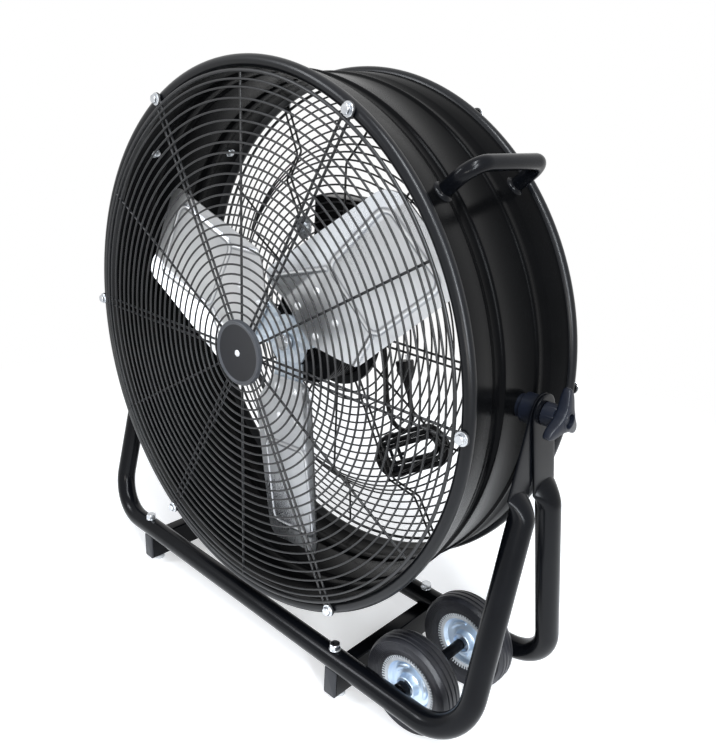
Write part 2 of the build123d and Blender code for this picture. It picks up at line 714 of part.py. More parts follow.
# ------------------------------------------------------------------ handles
for name, a in (("right_handle", handle_angle), ("left_handle", 180 - handle_angle)):
    shift = pivot_back
    with BuildPart() as handle:
        pl = radial_plane(a)
        with BuildLine(pl) as path:
            FilletPolyline((bead_r - 20, shift - handle_half), (grip_r, shift - handle_half),
                           (grip_r, shift + handle_half), (bead_r - 20, shift + handle_half),
                           radius=handle_bend)
        with BuildSketch(Plane(origin=path.line @ 0, x_dir=pl.z_dir, z_dir=path.line % 0)):
            RegularPolygon(handle_r, n_handle)
        sweep(path=path.line)
        add(drum_core.part, mode=Mode.SUBTRACT)
    handle.part.label = name
    export_step(handle.part, "parts/%s.step" % name)

# ------------------------------------------------------------------ control box
box_mid_z = axis_z + box_low + box_h / 2
with BuildPart() as control_box:
    with BuildSketch(Plane(origin=(0, mid_y + box_front_d, box_mid_z), x_dir=(-1, 0, 0), z_dir=(0, 1, 0))):
        Rectangle(box_w, box_h)
    extrude(amount=box_deep)
    with BuildSketch(Plane(origin=(0, mid_y + box_back_d, box_mid_z), x_dir=(-1, 0, 0), z_dir=(0, 1, 0))):
        Circle(dial_pin_r + run_fit)
    extrude(amount=-dial_bore, mode=Mode.SUBTRACT)
control_box.part.label = "control_box"
export_step(control_box.part, "parts/control_box.step")

with BuildPart() as speed_dial:
    back = Plane(origin=(0, mid_y + box_back_d, box_mid_z), x_dir=(-1, 0, 0), z_dir=(0, 1, 0))
    with BuildSketch(back.offset(dial_gap)):
        RegularPolygon(dial_r, 20)
    extrude(amount=dial_high - dial_bar_high)
    with BuildSketch(back.offset(dial_gap + dial_high - dial_bar_high)):
        Rectangle(dial_bar, 2 * dial_r - 2)
    extrude(amount=dial_bar_high)
    with BuildSketch(back.offset(-dial_pin_long)):
        Circle(dial_pin_r)
    extrude(amount=dial_pin_long + dial_gap)
speed_dial.part.label = "speed_dial"
export_step(speed_dial.part, "parts/speed_dial.step")

# ------------------------------------------------------------------ mains lead
def drum_point(x, z, d):
    return Vector(x, mid_y + d, axis_z + z)


with BuildPart() as strain_relief:
    with BuildSketch(Plane(origin=drum_point(gland_x, box_low, cord_d), z_dir=(0, 0, -1))):
        RegularPolygon(gland_r, 12)
    extrude(amount=gland_long)
strain_relief.part.label = "strain_relief"
export_step(strain_relief.part, "parts/strain_relief.step")

hank_frame = Plane(origin=drum_point(hank_x, hank_z, cord_d + (n_layers - 1) / 2 * hank_pitch),
                   x_dir=(-cos(radians(hank_turn)), 0, -sin(radians(hank_turn))), z_dir=(0, 1, 0))


def hank_point(x, y, z):
    return hank_frame.from_local_coords((x, y, z))


def easy_radii(points):
    """Bend radii that use most of the two runs beside each corner."""
    out = []
    for a, b, c in zip(points, points[1:], points[2:]):
        turn = (b - a).get_angle(c - b)
        out.append(0.45 * min((b - a).length, (c - b).length) / tan(radians(turn) / 2))
    return out


def tube(path, label):
    with BuildPart() as piece:
        add(path)
        with BuildSketch(Plane(origin=path @ 0, z_dir=path % 0)):
            RegularPolygon(cord_r, n_cord)
        sweep(path=path)
    piece.part.label = label
    export_step(piece.part, "parts/%s.step" % label)
    area = n_cord / 2 * cord_r ** 2 * sin(2 * pi / n_cord)
    print(label, "length %.0f" % path.length, "volume / section x length %.4f"
          % (piece.part.volume / (area * path.length)))
    return piece


# the hank: in each layer the turns spiral in or out, and a run climbs to the next layer
h = hank_run / 2
low = hank_out - hank_pitch / 2
z0 = -(n_layers - 1) / 2 * hank_pitch
spiral = [(hank_out - k * hank_pitch / 2) * (1 if k % 2 == 0 else -1) for k in range(n_folds + 1)]
ways = spiral + spiral[-2::-1]
climbs = {n_folds: 1}
with BuildLine() as hank_path:
    layer, side = 0, -1
    at = hank_point(-lead_join, ways[0], z0)
    for i, v in enumerate(ways):
        z = z0 + layer * hank_pitch
        to_x = side * h
        if i == len(ways) - 1:
            Line(hank_point(-to_x, v, z), hank_point(tail_leave, v, z))
            break
        if i == 0:
            Line(at, hank_point(to_x, v, z))
        elif i in climbs:
            layer = climbs[i]
            zn = z0 + layer * hank_pitch
            pts = [hank_point(-to_x, v, z), hank_point(-to_x * 0.55, v, z),
                   hank_point(to_x * 0.55, v, zn), hank_point(to_x, v, zn)]
            FilletPolyline(*pts, radius=easy_radii(pts))
            z = zn
        else:
            Line(hank_point(-to_x, v, z), hank_point(to_x, v, z))
        w = ways[i + 1]
        ThreePointArc(hank_point(to_x, v, z),
                      hank_point(to_x + side * abs(v - w) / 2, (v + w) / 2, z),
                      hank_point(to_x, w, z))
        side = -side
hank_wire = hank_path.wire()
tube(hank_wire, "cord_hank")
steps = int(hank_wire.length / 2)
dots = [hank_wire @ (k / steps) for k in range(steps + 1)]
apart = int(30 / (hank_wire.length / steps))
print("hank least gap %.2f" % (min((dots[a] - dots[b]).length for a in range(0, steps, 2)
                                   for b in range(a + apart, steps + 1)) - 2 * cord_r))

lead_end = hank_point(-lead_join, ways[0], z0)
lead_pts = [drum_point(gland_x, box_low - gland_long, cord_d)] + [
    drum_point(x, z, cord_d) for x, z in ((gland_x, 50), (55, 14), (64, -22), (69, -58), (73, -90))]
away = hank_frame.x_dir
lead_pts += [lead_end + away * 40 + hank_frame.y_dir * 18, lead_end + away * 24, lead_end]
radii = easy_radii(lead_pts)
print("lead radii", [round(v) for v in radii])
tube(FilletPolyline(*lead_pts, radius=radii).wire(), "cord_lead")

tail_start = hank_point(tail_leave, ways[-1], z0 + (n_layers - 1) * hank_pitch)
tail_d = cord_d + (n_layers - 1) * hank_pitch
tail_pts = [tail_start, tail_start - away * 24] + [drum_point(x, z, tail_d)
                                                 for x, z in ((114, -102), (106, -79), (100, -57))]
radii = easy_radii(tail_pts)
print("tail radii", [round(v) for v in radii])
tube(FilletPolyline(*tail_pts, radius=radii).wire(), "cord_tail")

plug_dir = (tail_pts[-1] - tail_pts[-2]).normalized()
plug_plane = Plane(origin=tail_pts[-1], x_dir=plug_dir.cross(Vector(0, 1, 0)), z_dir=plug_dir)
with BuildPart() as plug:
    with BuildSketch(plug_plane):
        Rectangle(3 * cord_r, 3 * cord_r)
    with BuildSketch(plug_plane.offset(plug_long * plug_taper)):
        Rectangle(plug_w, plug_deep)
    loft(ruled=True)
    with BuildSketch(plug_plane.offset(plug_long * plug_taper)):
        Rectangle(plug_w, plug_deep)
    extrude(amount=plug_long * (1 - plug_taper))
    with BuildSketch(plug_plane.offset(plug_long)):
        with GridLocations(pin_apart, 0, 2, 1):
            Rectangle(pin_thick, pin_w)
    extrude(amount=pin_long)
plug.part.label = "plug"
export_step(plug.part, "parts/plug.step")

with BuildPart() as hank_tie:
    mid = (ways[0] - low) / 2
    thick = (n_layers - 1) * hank_pitch
    with BuildSketch(Plane(origin=hank_point(tie_at - tie_w / 2, mid, 0), x_dir=hank_frame.y_dir,
                           z_dir=hank_frame.x_dir)):
        inner = (ways[0] + low + 2 * (cord_r + tie_gap), thick + 2 * (cord_r + tie_gap))
        Rectangle(inner[0] + 2 * tie_wall, inner[1] + 2 * tie_wall)
        Rectangle(*inner, mode=Mode.SUBTRACT)
    extrude(amount=tie_w)
hank_tie.part.label = "hank_tie"
export_step(hank_tie.part, "parts/hank_tie.step")
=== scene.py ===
"""Looks of the drum fan: smooth wires, sheet, tubes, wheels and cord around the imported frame.

Sizes are in millimetres and turn into metres where a mesh is made. X is the pivot axis, Y runs from
the front to the rear, Z is up. d is a distance along Y from the middle of the drum.
"""
from math import atan2, copysign, cos, hypot, pi, radians, sin, sqrt, tan

import bmesh
import bpy
from mathutils import Matrix, Vector
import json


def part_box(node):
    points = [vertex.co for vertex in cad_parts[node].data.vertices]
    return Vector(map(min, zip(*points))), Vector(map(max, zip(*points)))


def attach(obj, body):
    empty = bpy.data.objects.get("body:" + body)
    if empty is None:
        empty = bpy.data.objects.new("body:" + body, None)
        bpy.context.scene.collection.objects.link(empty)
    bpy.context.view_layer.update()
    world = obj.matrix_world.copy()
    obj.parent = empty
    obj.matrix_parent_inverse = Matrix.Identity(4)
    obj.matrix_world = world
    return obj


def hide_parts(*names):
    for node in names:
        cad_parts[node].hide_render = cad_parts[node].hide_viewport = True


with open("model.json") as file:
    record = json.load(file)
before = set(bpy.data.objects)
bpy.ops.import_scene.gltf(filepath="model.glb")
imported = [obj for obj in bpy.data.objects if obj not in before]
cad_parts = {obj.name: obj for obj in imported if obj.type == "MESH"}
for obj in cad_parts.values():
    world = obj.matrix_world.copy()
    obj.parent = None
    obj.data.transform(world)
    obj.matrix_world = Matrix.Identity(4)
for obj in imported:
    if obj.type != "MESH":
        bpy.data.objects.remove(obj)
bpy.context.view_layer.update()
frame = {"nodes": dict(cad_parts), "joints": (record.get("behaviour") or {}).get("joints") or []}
nodes = frame["nodes"]
MM = 0.001
RIGHT, REAR, UP = (1, 0, 0), (0, 1, 0), (0, 0, 1)
FRONT = (0, -1, 0)


# ---- places read from the frame
def node_box(name):
    low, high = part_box(name)
    return [v / MM for v in low], [v / MM for v in high]


shell_low = node_box("front_flare")[0]
shell_high = node_box("rear_flare")[1]
mid_y = (shell_low[1] + shell_high[1]) / 2
axis_z = (shell_low[2] + shell_high[2]) / 2
joint_at = {j["name"]: [v / MM for v in j["pos_m"]] for j in frame["joints"] if j.get("pos_m")}
_, pivot_y, pivot_z = joint_at["drum_tilt"]

bead_r, bead_half, half = 323.0, 7.0, 94.5
band_r, flare_r = 318.0, 322.2
wire, ring_wire = 3.0, 2.4
front_face_d = -101.5


def at(x, d, z):
    """Point beside the drum axis."""
    return Vector((x, mid_y + d, axis_z + z))


def around(r, a, d):
    """Point at radius r, angle a (degrees) and depth d."""
    return at(r * cos(radians(a)), d, r * sin(radians(a)))


# ---- mesh helpers
def add_object(name, data):
    obj = bpy.data.objects.new(name, data)
    bpy.context.scene.collection.objects.link(obj)
    return obj


def finish_mesh(bm, name, mat, angle, body, *replaces):
    """Turns a shape into a smooth object with its material, body and the nodes that it stands for."""
    mesh = bpy.data.meshes.new(name)
    bmesh.ops.recalc_face_normals(bm, faces=bm.faces)
    bm.to_mesh(mesh)
    bm.free()
    mesh.transform(Matrix.Scale(MM, 4))
    for p in mesh.polygons:
        p.use_smooth = True
    mesh.set_sharp_from_angle(angle=radians(angle))
    obj = add_object(name, mesh)
    mesh.materials.append(mat[0])
    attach(obj, body)
    if replaces:
        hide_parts(*replaces)
    return obj


def neighbours(rows, closed):
    """Each row with the next one, and the last with the first if the run is closed."""
    return zip(rows, rows[1:] + (rows[:1] if closed else []))


def skin(bm, loops, closed_way=False):
    """Faces between closed loops of points, with a face on each end unless the last meets the first."""
    rows = [[bm.verts.new(p) for p in loop] for loop in loops]
    count = len(rows[0])
    for a, b in neighbours(rows, closed_way):
        for i in range(count):
            j = (i + 1) % count
            bm.faces.new((a[i], a[j], b[j], b[i]))
    if not closed_way:
        bm.faces.new(rows[0][::-1])
        bm.faces.new(rows[-1])


def full_turn(n):
    """Angles of n even steps round a circle."""
    return [2 * pi * k / n for k in range(n)]


def lathe(bm, profile, origin, axis, segments, closed=False):
    """Turns (radius, along) points about an axis; a radius of 0 closes on the axis."""
    axis = Vector(axis).normalized()
    side = axis.orthogonal().normalized()
    other = axis.cross(side)
    rows = []
    for r, a in profile:
        centre = Vector(origin) + axis * a
        if r < 1e-6:
            rows.append([bm.verts.new(centre)] * segments)
        else:
            ring = [centre + (side * cos(t) + other * sin(t)) * r for t in full_turn(segments)]
            rows.append([bm.verts.new(p) for p in ring])
    for a, b in neighbours(rows, closed):
        for i in range(segments):
            j = (i + 1) % segments
            corners = list(dict.fromkeys((a[i], a[j], b[j], b[i])))
            if len(corners) > 2:
                bm.faces.new(corners)


def arc(cx, cy, r, start, end, steps=8):
    """Points of an arc in a profile, angles in degrees."""
    turns = [radians(start + (end - start) * k / steps) for k in range(steps + 1)]
    return [(cx + r * cos(t), cy + r * sin(t)) for t in turns]


def fillet(points, radius, steps=8, closed=False):
    """Rounds the corners of a run of points."""
    out = []
    n = len(points)
    for i, p in enumerate(points):
        if not closed and i in (0, n - 1):
            out.append(p)
            continue
        a = points[i - 1] - p
        b = points[(i + 1) % n] - p
        la, lb = a.length, b.length
        a.normalize()
        b.normalize()
        turn = pi - a.angle(b)
        if turn < 1e-3:
            out.append(p)
            continue
        cut = min(radius * tan(turn / 2), 0.49 * la, 0.49 * lb)
        r = cut / tan(turn / 2)
        centre = p + (a + b).normalized() * (r / cos(turn / 2))
        ea = (p + a * cut - centre).normalized()
        eb = (p + b * cut - centre).normalized()
        out += [centre + ea.slerp(eb, k / steps) * r for k in range(steps + 1)]
    return out


def tube(bm, points, radius, sides, closed=False):
    """Round wire or tube along points; radius may be a list, one value for each point."""
    n = len(points)
    ways = []
    for i in range(n):
        a = points[i - 1] if i or closed else points[0]
        b = points[(i + 1) % n] if i < n - 1 or closed else points[-1]
        ways.append((b - a).normalized())
    side = ways[0].orthogonal().normalized()
    sides_list = []
    for i in range(n):
        if i:
            side = (side - ways[i] * side.dot(ways[i])).normalized()
        sides_list.append(side.copy())
    twist = 0.0
    if closed:
        last = (sides_list[-1] - ways[0] * sides_list[-1].dot(ways[0])).normalized()
        twist = atan2(last.cross(sides_list[0]).dot(ways[0]), last.dot(sides_list[0]))
    loops = []
    for i in range(n):
        turned = Matrix.Rotation(twist * i / n, 3, ways[i]) @ sides_list[i]
        other = ways[i].cross(turned)
        r = radius[i] if isinstance(radius, list) else radius
        loops.append([points[i] + (turned * cos(t) + other * sin(t)) * r for t in full_turn(sides)])
    skin(bm, loops, closed_way=closed)


def prism(bm, outline, origin, ex, ey, ez, height, edge=0.0):
    """Solid on a flat outline of (x, y) points, its two rims rounded by edge."""
    origin, ex, ey, ez = (Vector(v) for v in (origin, ex, ey, ez))
    n = len(outline)
    area = sum(outline[i][0] * outline[(i + 1) % n][1] - outline[(i + 1) % n][0] * outline[i][1]
               for i in range(n))
    way = 1 if area > 0 else -1

    def inset(by):
        out = []
        for i in range(n):
            p0, p1, p2 = (Vector(outline[(i + k) % n]) for k in (-1, 0, 1))
            e1, e2 = (p1 - p0).normalized(), (p2 - p1).normalized()
            n1, n2 = Vector((-e1.y, e1.x)) * way, Vector((-e2.y, e2.x)) * way
            m = n1 + n2
            scale = 1 / max(m.length_squared / 2, 0.3)
            out.append(p1 + m * by * scale)
        return out

    levels = [(0, 0), (0, height)]
    if edge:
        turns = [pi / 2 * k / 3 for k in range(4)]
        levels = [(edge * (1 - sin(t)), edge * (1 - cos(t))) for t in turns]
        levels += [(edge * (1 - cos(t)), height - edge * (1 - sin(t))) for t in turns]
    skin(bm, [[origin + ex * p.x + ey * p.y + ez * h for p in inset(by)] for by, h in levels])


def rounded_box(w, h, r, steps=4):
    """Outline of a rectangle with round corners."""
    out = []
    for cx, cy, a in ((w / 2 - r, h / 2 - r, 0), (r - w / 2, h / 2 - r, 90),
                      (r - w / 2, r - h / 2, 180), (w / 2 - r, r - h / 2, 270)):
        out += arc(cx, cy, r, a, a + 90, steps)
    return out


def hex_bolt(bm, foot, axis, flats, high, turn=0.0, washer=None):
    """Hexagon head with a chamfered top, on a washer if its radius and thickness are given."""
    axis = Vector(axis).normalized()
    side = Matrix.Rotation(turn, 3, axis) @ axis.orthogonal().normalized()
    other = axis.cross(side)
    foot = Vector(foot)
    base = 0.0
    if washer:
        r, t = washer
        lathe(bm, [(0, 0), (r - 0.3, 0), (r, 0.3), (r, t - 0.4), (r - 0.4, t), (0, t)], foot, axis, 32)
        base = t
    big = flats / sqrt(3)
    rim = flats / 2 * 0.94
    loops = []
    for f, h in ((1, base), (1, high - 0.9), (0.5, high - 0.35), (0, high)):
        ring = []
        for t in full_turn(24):
            hexagon = big * cos(pi / 6) / cos((t % (pi / 3)) - pi / 6)
            r = min(hexagon * f + rim * (1 - f), hexagon)
            ring.append(foot + (side * cos(t) + other * sin(t)) * r + axis * h)
        loops.append(ring)
    skin(bm, loops)


def dome(bm, foot, axis, r, h):
    """Round screw head."""
    crown = [(r * sin(t), h * cos(t)) for t in (pi / 2 * k / 6 for k in range(1, 7))]
    lathe(bm, [(0, h)] + crown + [(r, -0.3)], foot, axis, 24)


# ---- materials
def node_tree(name):
    mat = bpy.data.materials.new(name)
    mat.use_nodes = True
    tree = mat.node_tree
    tree.nodes.clear()
    out = tree.nodes.new("ShaderNodeOutputMaterial")
    shader = tree.nodes.new("ShaderNodeBsdfPrincipled")
    tree.links.new(shader.outputs[0], out.inputs[0])
    return mat, tree, shader


def new_node(tree, kind, links=None, **values):
    """Shader node, its inputs linked to outputs of other nodes or set to constants."""
    node = tree.nodes.new("ShaderNode" + kind)
    for socket, value in values.items():
        node.inputs[socket.replace("_", " ")].default_value = value
    for socket, source in (links or {}).items():
        tree.links.new(source, node.inputs[socket])
    return node


def maths(tree, operation, *terms):
    """Output of a Math node, each term a number or the output of another node."""
    node = new_node(tree, "Math")
    node.operation = operation
    for socket, term in zip(node.inputs, terms):
        if isinstance(term, (int, float)):
            socket.default_value = term
        else:
            tree.links.new(term, socket)
    return node.outputs[0]


def noise(tree, scale, detail, stretch=(1, 1, 1)):
    place = new_node(tree, "TexCoord")
    spread = new_node(tree, "Mapping", {0: place.outputs["Object"]}, Scale=stretch)
    tex = new_node(tree, "TexNoise", {0: spread.outputs[0]}, Scale=scale, Detail=detail, Roughness=0.55)
    return tex.outputs["Fac"]


def ramp(tree, value, low, high, a, b):
    """Maps value from low..high to a..b, numbers or colours."""
    if isinstance(a, (int, float)):
        node = new_node(tree, "MapRange", {"Value": value}, From_Min=low, From_Max=high, To_Min=a, To_Max=b)
        return node.outputs[0]
    node = new_node(tree, "ValToRGB", {0: value})
    for element, position, colour in zip(node.color_ramp.elements, (low, high), (a, b)):
        element.position = position
        element.color = (*colour, 1)
    return node.outputs[0]


def bump(tree, shader, value, strength, distance):
    node = new_node(tree, "Bump", {"Height": value}, Strength=strength, Distance=distance)
    tree.links.new(node.outputs[0], shader.inputs["Normal"])


def surface(name, slot, dark, light, rough, metal=0.0, grain=900.0, depth=5e-5, cloud=14.0,
            stretch=(1, 1, 1), specular=0.5, lines=()):
    """Painted, plated or moulded surface: clouded colour, uneven gloss, a fine grain, and tints mixed in
    along marked lines, which paint shade and highlight into the colour.
    """
    mat, tree, shader = node_tree(name)
    shader.inputs["Metallic"].default_value = metal
    shader.inputs["Specular IOR Level"].default_value = specular
    clouds = noise(tree, cloud, 5)
    fine = noise(tree, grain, 3, stretch)
    colour = ramp(tree, clouds, 0.3, 0.7, dark, light)
    # each tint paints light into the colour where its attribute marks it: a dark tint is painted shade, a
    # bright tint a painted highlight
    for attribute, tint in lines:
        mark = new_node(tree, "Attribute")
        mark.attribute_name = attribute
        mix = new_node(tree, "Mix")
        mix.data_type = "RGBA"
        tree.links.new(mark.outputs["Fac"], mix.inputs["Factor"])
        tree.links.new(colour, mix.inputs[6])
        mix.inputs[7].default_value = (*tint, 1)
        colour = mix.outputs[2]
    tree.links.new(colour, shader.inputs["Base Color"])
    uneven = maths(tree, "MULTIPLY_ADD", fine, 0.35, clouds)
    tree.links.new(ramp(tree, uneven, 0.4, 0.95, *rough), shader.inputs["Roughness"])
    bump(tree, shader, fine, 0.6, depth)
    return mat, slot


def spangled(name, slot, dark, light, rough):
    """Zinc coat: crystals of slightly different grey."""
    mat, tree, shader = node_tree(name)
    shader.inputs["Metallic"].default_value = 1.0
    place = new_node(tree, "TexCoord")
    cells = new_node(tree, "TexVoronoi", {"Vector": place.outputs["Object"]}, Scale=160.0)
    grey = new_node(tree, "SeparateColor", {0: cells.outputs["Color"]})
    tree.links.new(ramp(tree, grey.outputs[0], 0.0, 1.0, dark, light), shader.inputs["Base Color"])
    tree.links.new(ramp(tree, grey.outputs[1], 0.0, 1.0, *rough), shader.inputs["Roughness"])
    bump(tree, shader, noise(tree, 700, 3), 0.3, 4e-5)
    return mat, slot


powder = surface(
    "powder_coat", "black_tube", (0.0018, 0.0021, 0.003), (0.003, 0.0035, 0.0048), (0.18, 0.26),
    grain=1500, depth=5e-6, specular=0.13)
bead_paint = surface(
    "bead_paint", "black_sheet", (0.0016, 0.002, 0.003), (0.0026, 0.0032, 0.0046), (0.26, 0.34),
    grain=1300, depth=5e-6, specular=0.26)
sheet_paint = surface(
    "sheet_paint", "black_sheet", (0.0014, 0.0015, 0.0017), (0.0024, 0.0025, 0.0028), (0.2, 0.3),
    grain=1300, depth=8e-6, specular=0.03)
wire_paint = surface(
    "wire_paint", "black_wire", (0.003, 0.0034, 0.0044), (0.0052, 0.0058, 0.0072), (0.3, 0.42),
    grain=1800, depth=5e-6)
bolt_zinc = surface(
    "bolt_zinc", "zinc_bolt", (0.5, 0.52, 0.55), (0.66, 0.68, 0.7), (0.2, 0.38), 1.0,
    grain=1400, depth=3e-5, cloud=120)
rivet_metal = surface(
    "rivet_metal", "bare_blade", (0.8, 0.81, 0.82), (0.92, 0.92, 0.92), (0.4, 0.55), 0.35,
    depth=2e-5, cloud=150)
# the flank tint is painted shade beside the pressed lines, the crest tint a painted highlight along them
blade_metal = surface(
    "blade_metal", "bare_blade", (0.62, 0.635, 0.66), (0.82, 0.83, 0.84), (0.24, 0.36), 1.0,
    grain=120, depth=2e-6, cloud=7, stretch=(9, 1, 1),
    lines=(("flank_shade", (0.2, 0.21, 0.235)), ("crest_highlight", (0.93, 0.94, 0.95))))
galvanised = spangled("galvanised", "galvanised", (0.56, 0.64, 0.73), (0.77, 0.84, 0.91), (0.28, 0.46))
motor_paint = surface(
    "motor_paint", "motor_paint", (0.0028, 0.003, 0.0036), (0.005, 0.0054, 0.0064), (0.3, 0.42),
    specular=0.12)
steel = surface(
    "shaft_steel", "shaft_steel", (0.42, 0.43, 0.45), (0.56, 0.57, 0.58), (0.2, 0.35), 1.0, cloud=60)
rim_zinc = surface(
    "rim_zinc", "wheel_rim", (0.5, 0.62, 0.78), (0.72, 0.82, 0.92), (0.34, 0.5), 1.0,
    grain=700, depth=3e-5, cloud=24)
seat_zinc = surface(
    "seat_zinc", "wheel_rim", (0.5, 0.53, 0.56), (0.66, 0.68, 0.7), (0.4, 0.55), 0.6,
    grain=700, depth=3e-5, cloud=60)
rubber = surface(
    "tyre_rubber", "tyre_rubber", (0.009, 0.0092, 0.0115), (0.022, 0.0225, 0.028), (0.34, 0.5),
    grain=1600, depth=1e-4, cloud=40, specular=0.42)
plastic = surface(
    "black_plastic", "black_plastic", (0.0032, 0.0044, 0.0085), (0.0066, 0.009, 0.0165), (0.3, 0.44),
    grain=2200, depth=4e-5, specular=0.3)
cap_plastic = surface(
    "cap_plastic", "cap_plastic", (0.012, 0.013, 0.016), (0.02, 0.0215, 0.0265), (0.36, 0.5),
    grain=2200, specular=0.3)
light_plastic = surface(
    "light_plastic", "light_plastic", (0.5, 0.51, 0.53), (0.66, 0.67, 0.68), (0.3, 0.45),
    grain=1500, depth=4e-5)
disc_paint = surface(
    "disc_paint", "disc_paint", (0.0085, 0.009, 0.0105), (0.0135, 0.014, 0.0165), (0.4, 0.52),
    grain=1600, depth=6e-5, specular=0.2)
# lighter copy of the disc paint: a painted highlight on the raised rim
disc_rim_highlight = surface(
    "disc_rim_highlight_paint", "disc_paint", (0.036, 0.038, 0.043), (0.05, 0.053, 0.06), (0.34, 0.46),
    grain=1600, specular=0.3)
sheath = surface(
    "cord_sheath", "cord_rubber", (0.0035, 0.0036, 0.0045), (0.0068, 0.007, 0.0085), (0.36, 0.5),
    grain=1900, depth=4e-5, specular=0.28)


# ---- drum
def drum_shell():
    """Rolled sheet: plain band, ribs, step, flare and rolled beads."""
    rib_in, rib_out, rise = 26.5, 36.5, 3.2
    inner_r = band_r - 2
    rib = [(rise * sin(pi * k / 10) ** 1.3, rib_in + (rib_out - rib_in) * k / 10) for k in range(1, 10)]
    side = [(band_r, 0), (band_r, 26)] + [(band_r + high, d) for high, d in rib]
    side += [(band_r, 37), (band_r, 44.2), (band_r + 0.3, 45.6), (321.2, 54.6), (322, 56), (323.2, 84)]
    side += arc(bead_r, half, bead_half, -80, 200, 28)
    side += [(320.0, 84), (319.9, 56.8), (319.1, 55.2), (316.3, 46), (inner_r, 44.8), (inner_r, 37.3)]
    side += [(inner_r + high, d) for high, d in rib[::-1]] + [(inner_r, 26), (inner_r, 0)]
    profile = side + [(r, -d) for r, d in side[::-1][1:-1]]
    bm = bmesh.new()
    lathe(bm, profile, at(0, 0, 0), REAR, 240, closed=True)
    sheet = finish_mesh(bm, "drum_sheet", sheet_paint, 28, "drum", "drum_band", "front_flare", "rear_flare")
    sheet.data.materials.append(bead_paint[0])
    for patch in sheet.data.polygons:
        if abs(patch.center.y / MM - mid_y) > half - bead_half:
            patch.material_index = 1


# ---- grilles
edge_ring_r, front_ring_step, rear_ring_step = 296.5, 11.27, 11.0
front_rings = [304.5] + [edge_ring_r - front_ring_step * k for k in range(23)]
sunk = 0.25             # how far a welded ring sits in its spokes
n_pairs = 6
pair_hub, pair_rim = 3.5, 4.75
pair_bend, pair_turn = 6.3, 131     # end of a double spoke round its bolt: radius, half its angle
rim_ring_r, rim_ring_half = 313, 2.0
disc_r = 40.0
dish_d, dish_r = 63, 215            # flat of the rear dish
slope_d, slope_r = 98.5, 252        # end of its slope
rear_mid_d = 103.0                  # rear spokes at the rim


def circle(r, d, n):
    return [around(r, 360 * k / n, d) for k in range(n)]


def beside(x, y, d, a):
    """Point x out along angle a (degrees) and y beside that line, at depth d."""
    ca, sa = cos(radians(a)), sin(radians(a))
    return at(x * ca - y * sa, d, x * sa + y * ca)


def pair_end():
    return arc(bead_r, 0, pair_bend, pair_turn, -pair_turn, 18)


def front_grille():
    """Round wires: rings in front of the spokes, hairpins turned round the rim bolts."""
    bm = bmesh.new()
    ring_d = front_face_d - wire - ring_wire / 2 + sunk
    for r in front_rings:
        tube(bm, circle(r, ring_d, 144 if r > 100 else 72), ring_wire / 2, 8, closed=True)
    finish_mesh(bm, "front_rings", wire_paint, 60, "drum", "front_grille_rings")
    bm = bmesh.new()
    mid = front_face_d - wire / 2
    flat = [(disc_r - 8, pair_hub), (bead_r - 5, pair_rim)] + pair_end()
    flat += [(bead_r - 5, -pair_rim), (disc_r - 8, -pair_hub)]
    for k in range(n_pairs):
        a = 360 * k / n_pairs
        tube(bm, [beside(x, y, mid, a) for x, y in flat], wire / 2, 10)
        tube(bm, [around(r, a + 30, mid) for r in (disc_r - 8, 312)], wire / 2, 10)
    tube(bm, circle(rim_ring_r, front_face_d - 2, 192), rim_ring_half, 10, closed=True)
    lathe(bm, [(0, 0), (36, 0), (37, 0.8), (37, 2.4), (36.4, 3), (0, 3)], at(0, front_face_d - wire, 0),
          REAR, 64)
    finish_mesh(bm, "front_spokes", wire_paint, 50, "drum", "front_grille_spokes")


def rear_grille():
    """The wires follow the dish down to the motor."""
    def bent(run):
        return fillet([Vector((r, d, 0)) for r, d in run], 9, 5)

    dish = [(dish_r, dish_d), (slope_r, slope_d)]
    single = bent([(68, dish_d)] + dish + [(312.5, rear_mid_d)])
    double = bent([(67.5, dish_d)] + dish + [(312, 102.8), (bead_r - 5, rear_mid_d)])
    path = [(p.x, 4.5, p.y) for p in double]
    back = [(x, -y, d) for x, y, d in path[::-1]]
    path += [(x, y, rear_mid_d) for x, y in pair_end()] + back
    path += [(x, y, dish_d) for x, y in arc(67.5, 0, 6.0, 240, 120, 8)]
    bm = bmesh.new()
    for k in range(n_pairs):
        a = 360 * k / n_pairs
        tube(bm, [beside(*p, a) for p in path], wire / 2, 10, closed=True)
        tube(bm, [around(p.x, a + 30, p.y) for p in single], wire / 2, 10)
    tube(bm, circle(rim_ring_r, rear_mid_d, 192), rim_ring_half, 10, closed=True)
    finish_mesh(bm, "rear_spokes", wire_paint, 50, "drum", "rear_grille_spokes")
    lift = wire / 2 + ring_wire / 2 - sunk
    slope = atan2(slope_d - dish_d, slope_r - dish_r)
    rings = []
    for r in (210.0 - rear_ring_step * k for k in range(12)):
        rings.append((r, dish_d + lift, 120 if r > 100 else 72))
    for f in ((k + 0.6) / 4 for k in range(4)):
        rings.append((dish_r + (slope_r - dish_r) * f - sin(slope) * lift,
                      dish_d + (slope_d - dish_d) * f + cos(slope) * lift, 144))
    for r in (259.0 + rear_ring_step * k for k in range(5)):
        rings.append((r, slope_d + (r - slope_r) * 0.07 + lift, 144))
    bm = bmesh.new()
    for r, d, n in rings:
        tube(bm, circle(r, d, n), ring_wire / 2, 8, closed=True)
    finish_mesh(bm, "rear_rings", wire_paint, 60, "drum", "rear_grille_rings")


def bolt_ring(name, node, r, d, way, twist):
    """Bolts with washers round the drum axis, each turned a little further than the last."""
    bm = bmesh.new()
    for k in range(n_pairs):
        hex_bolt(bm, around(r, 60.0 * k, d), way, 9.6, 5.0, radians(twist * k), (7.4, 1.2))
    finish_mesh(bm, name, bolt_zinc, 30, "drum", node)


def grille_fixings():
    bolt_ring("front_rim_bolts", "front_grille_bolts", bead_r, front_face_d - wire, FRONT, 17)
    bolt_ring("rear_rim_bolts", "rear_grille_bolts", bead_r, 104.5, REAR, 23)
    bolt_ring("motor_flange_bolts", "motor_bolts", 68, 64.5, REAR, 11)


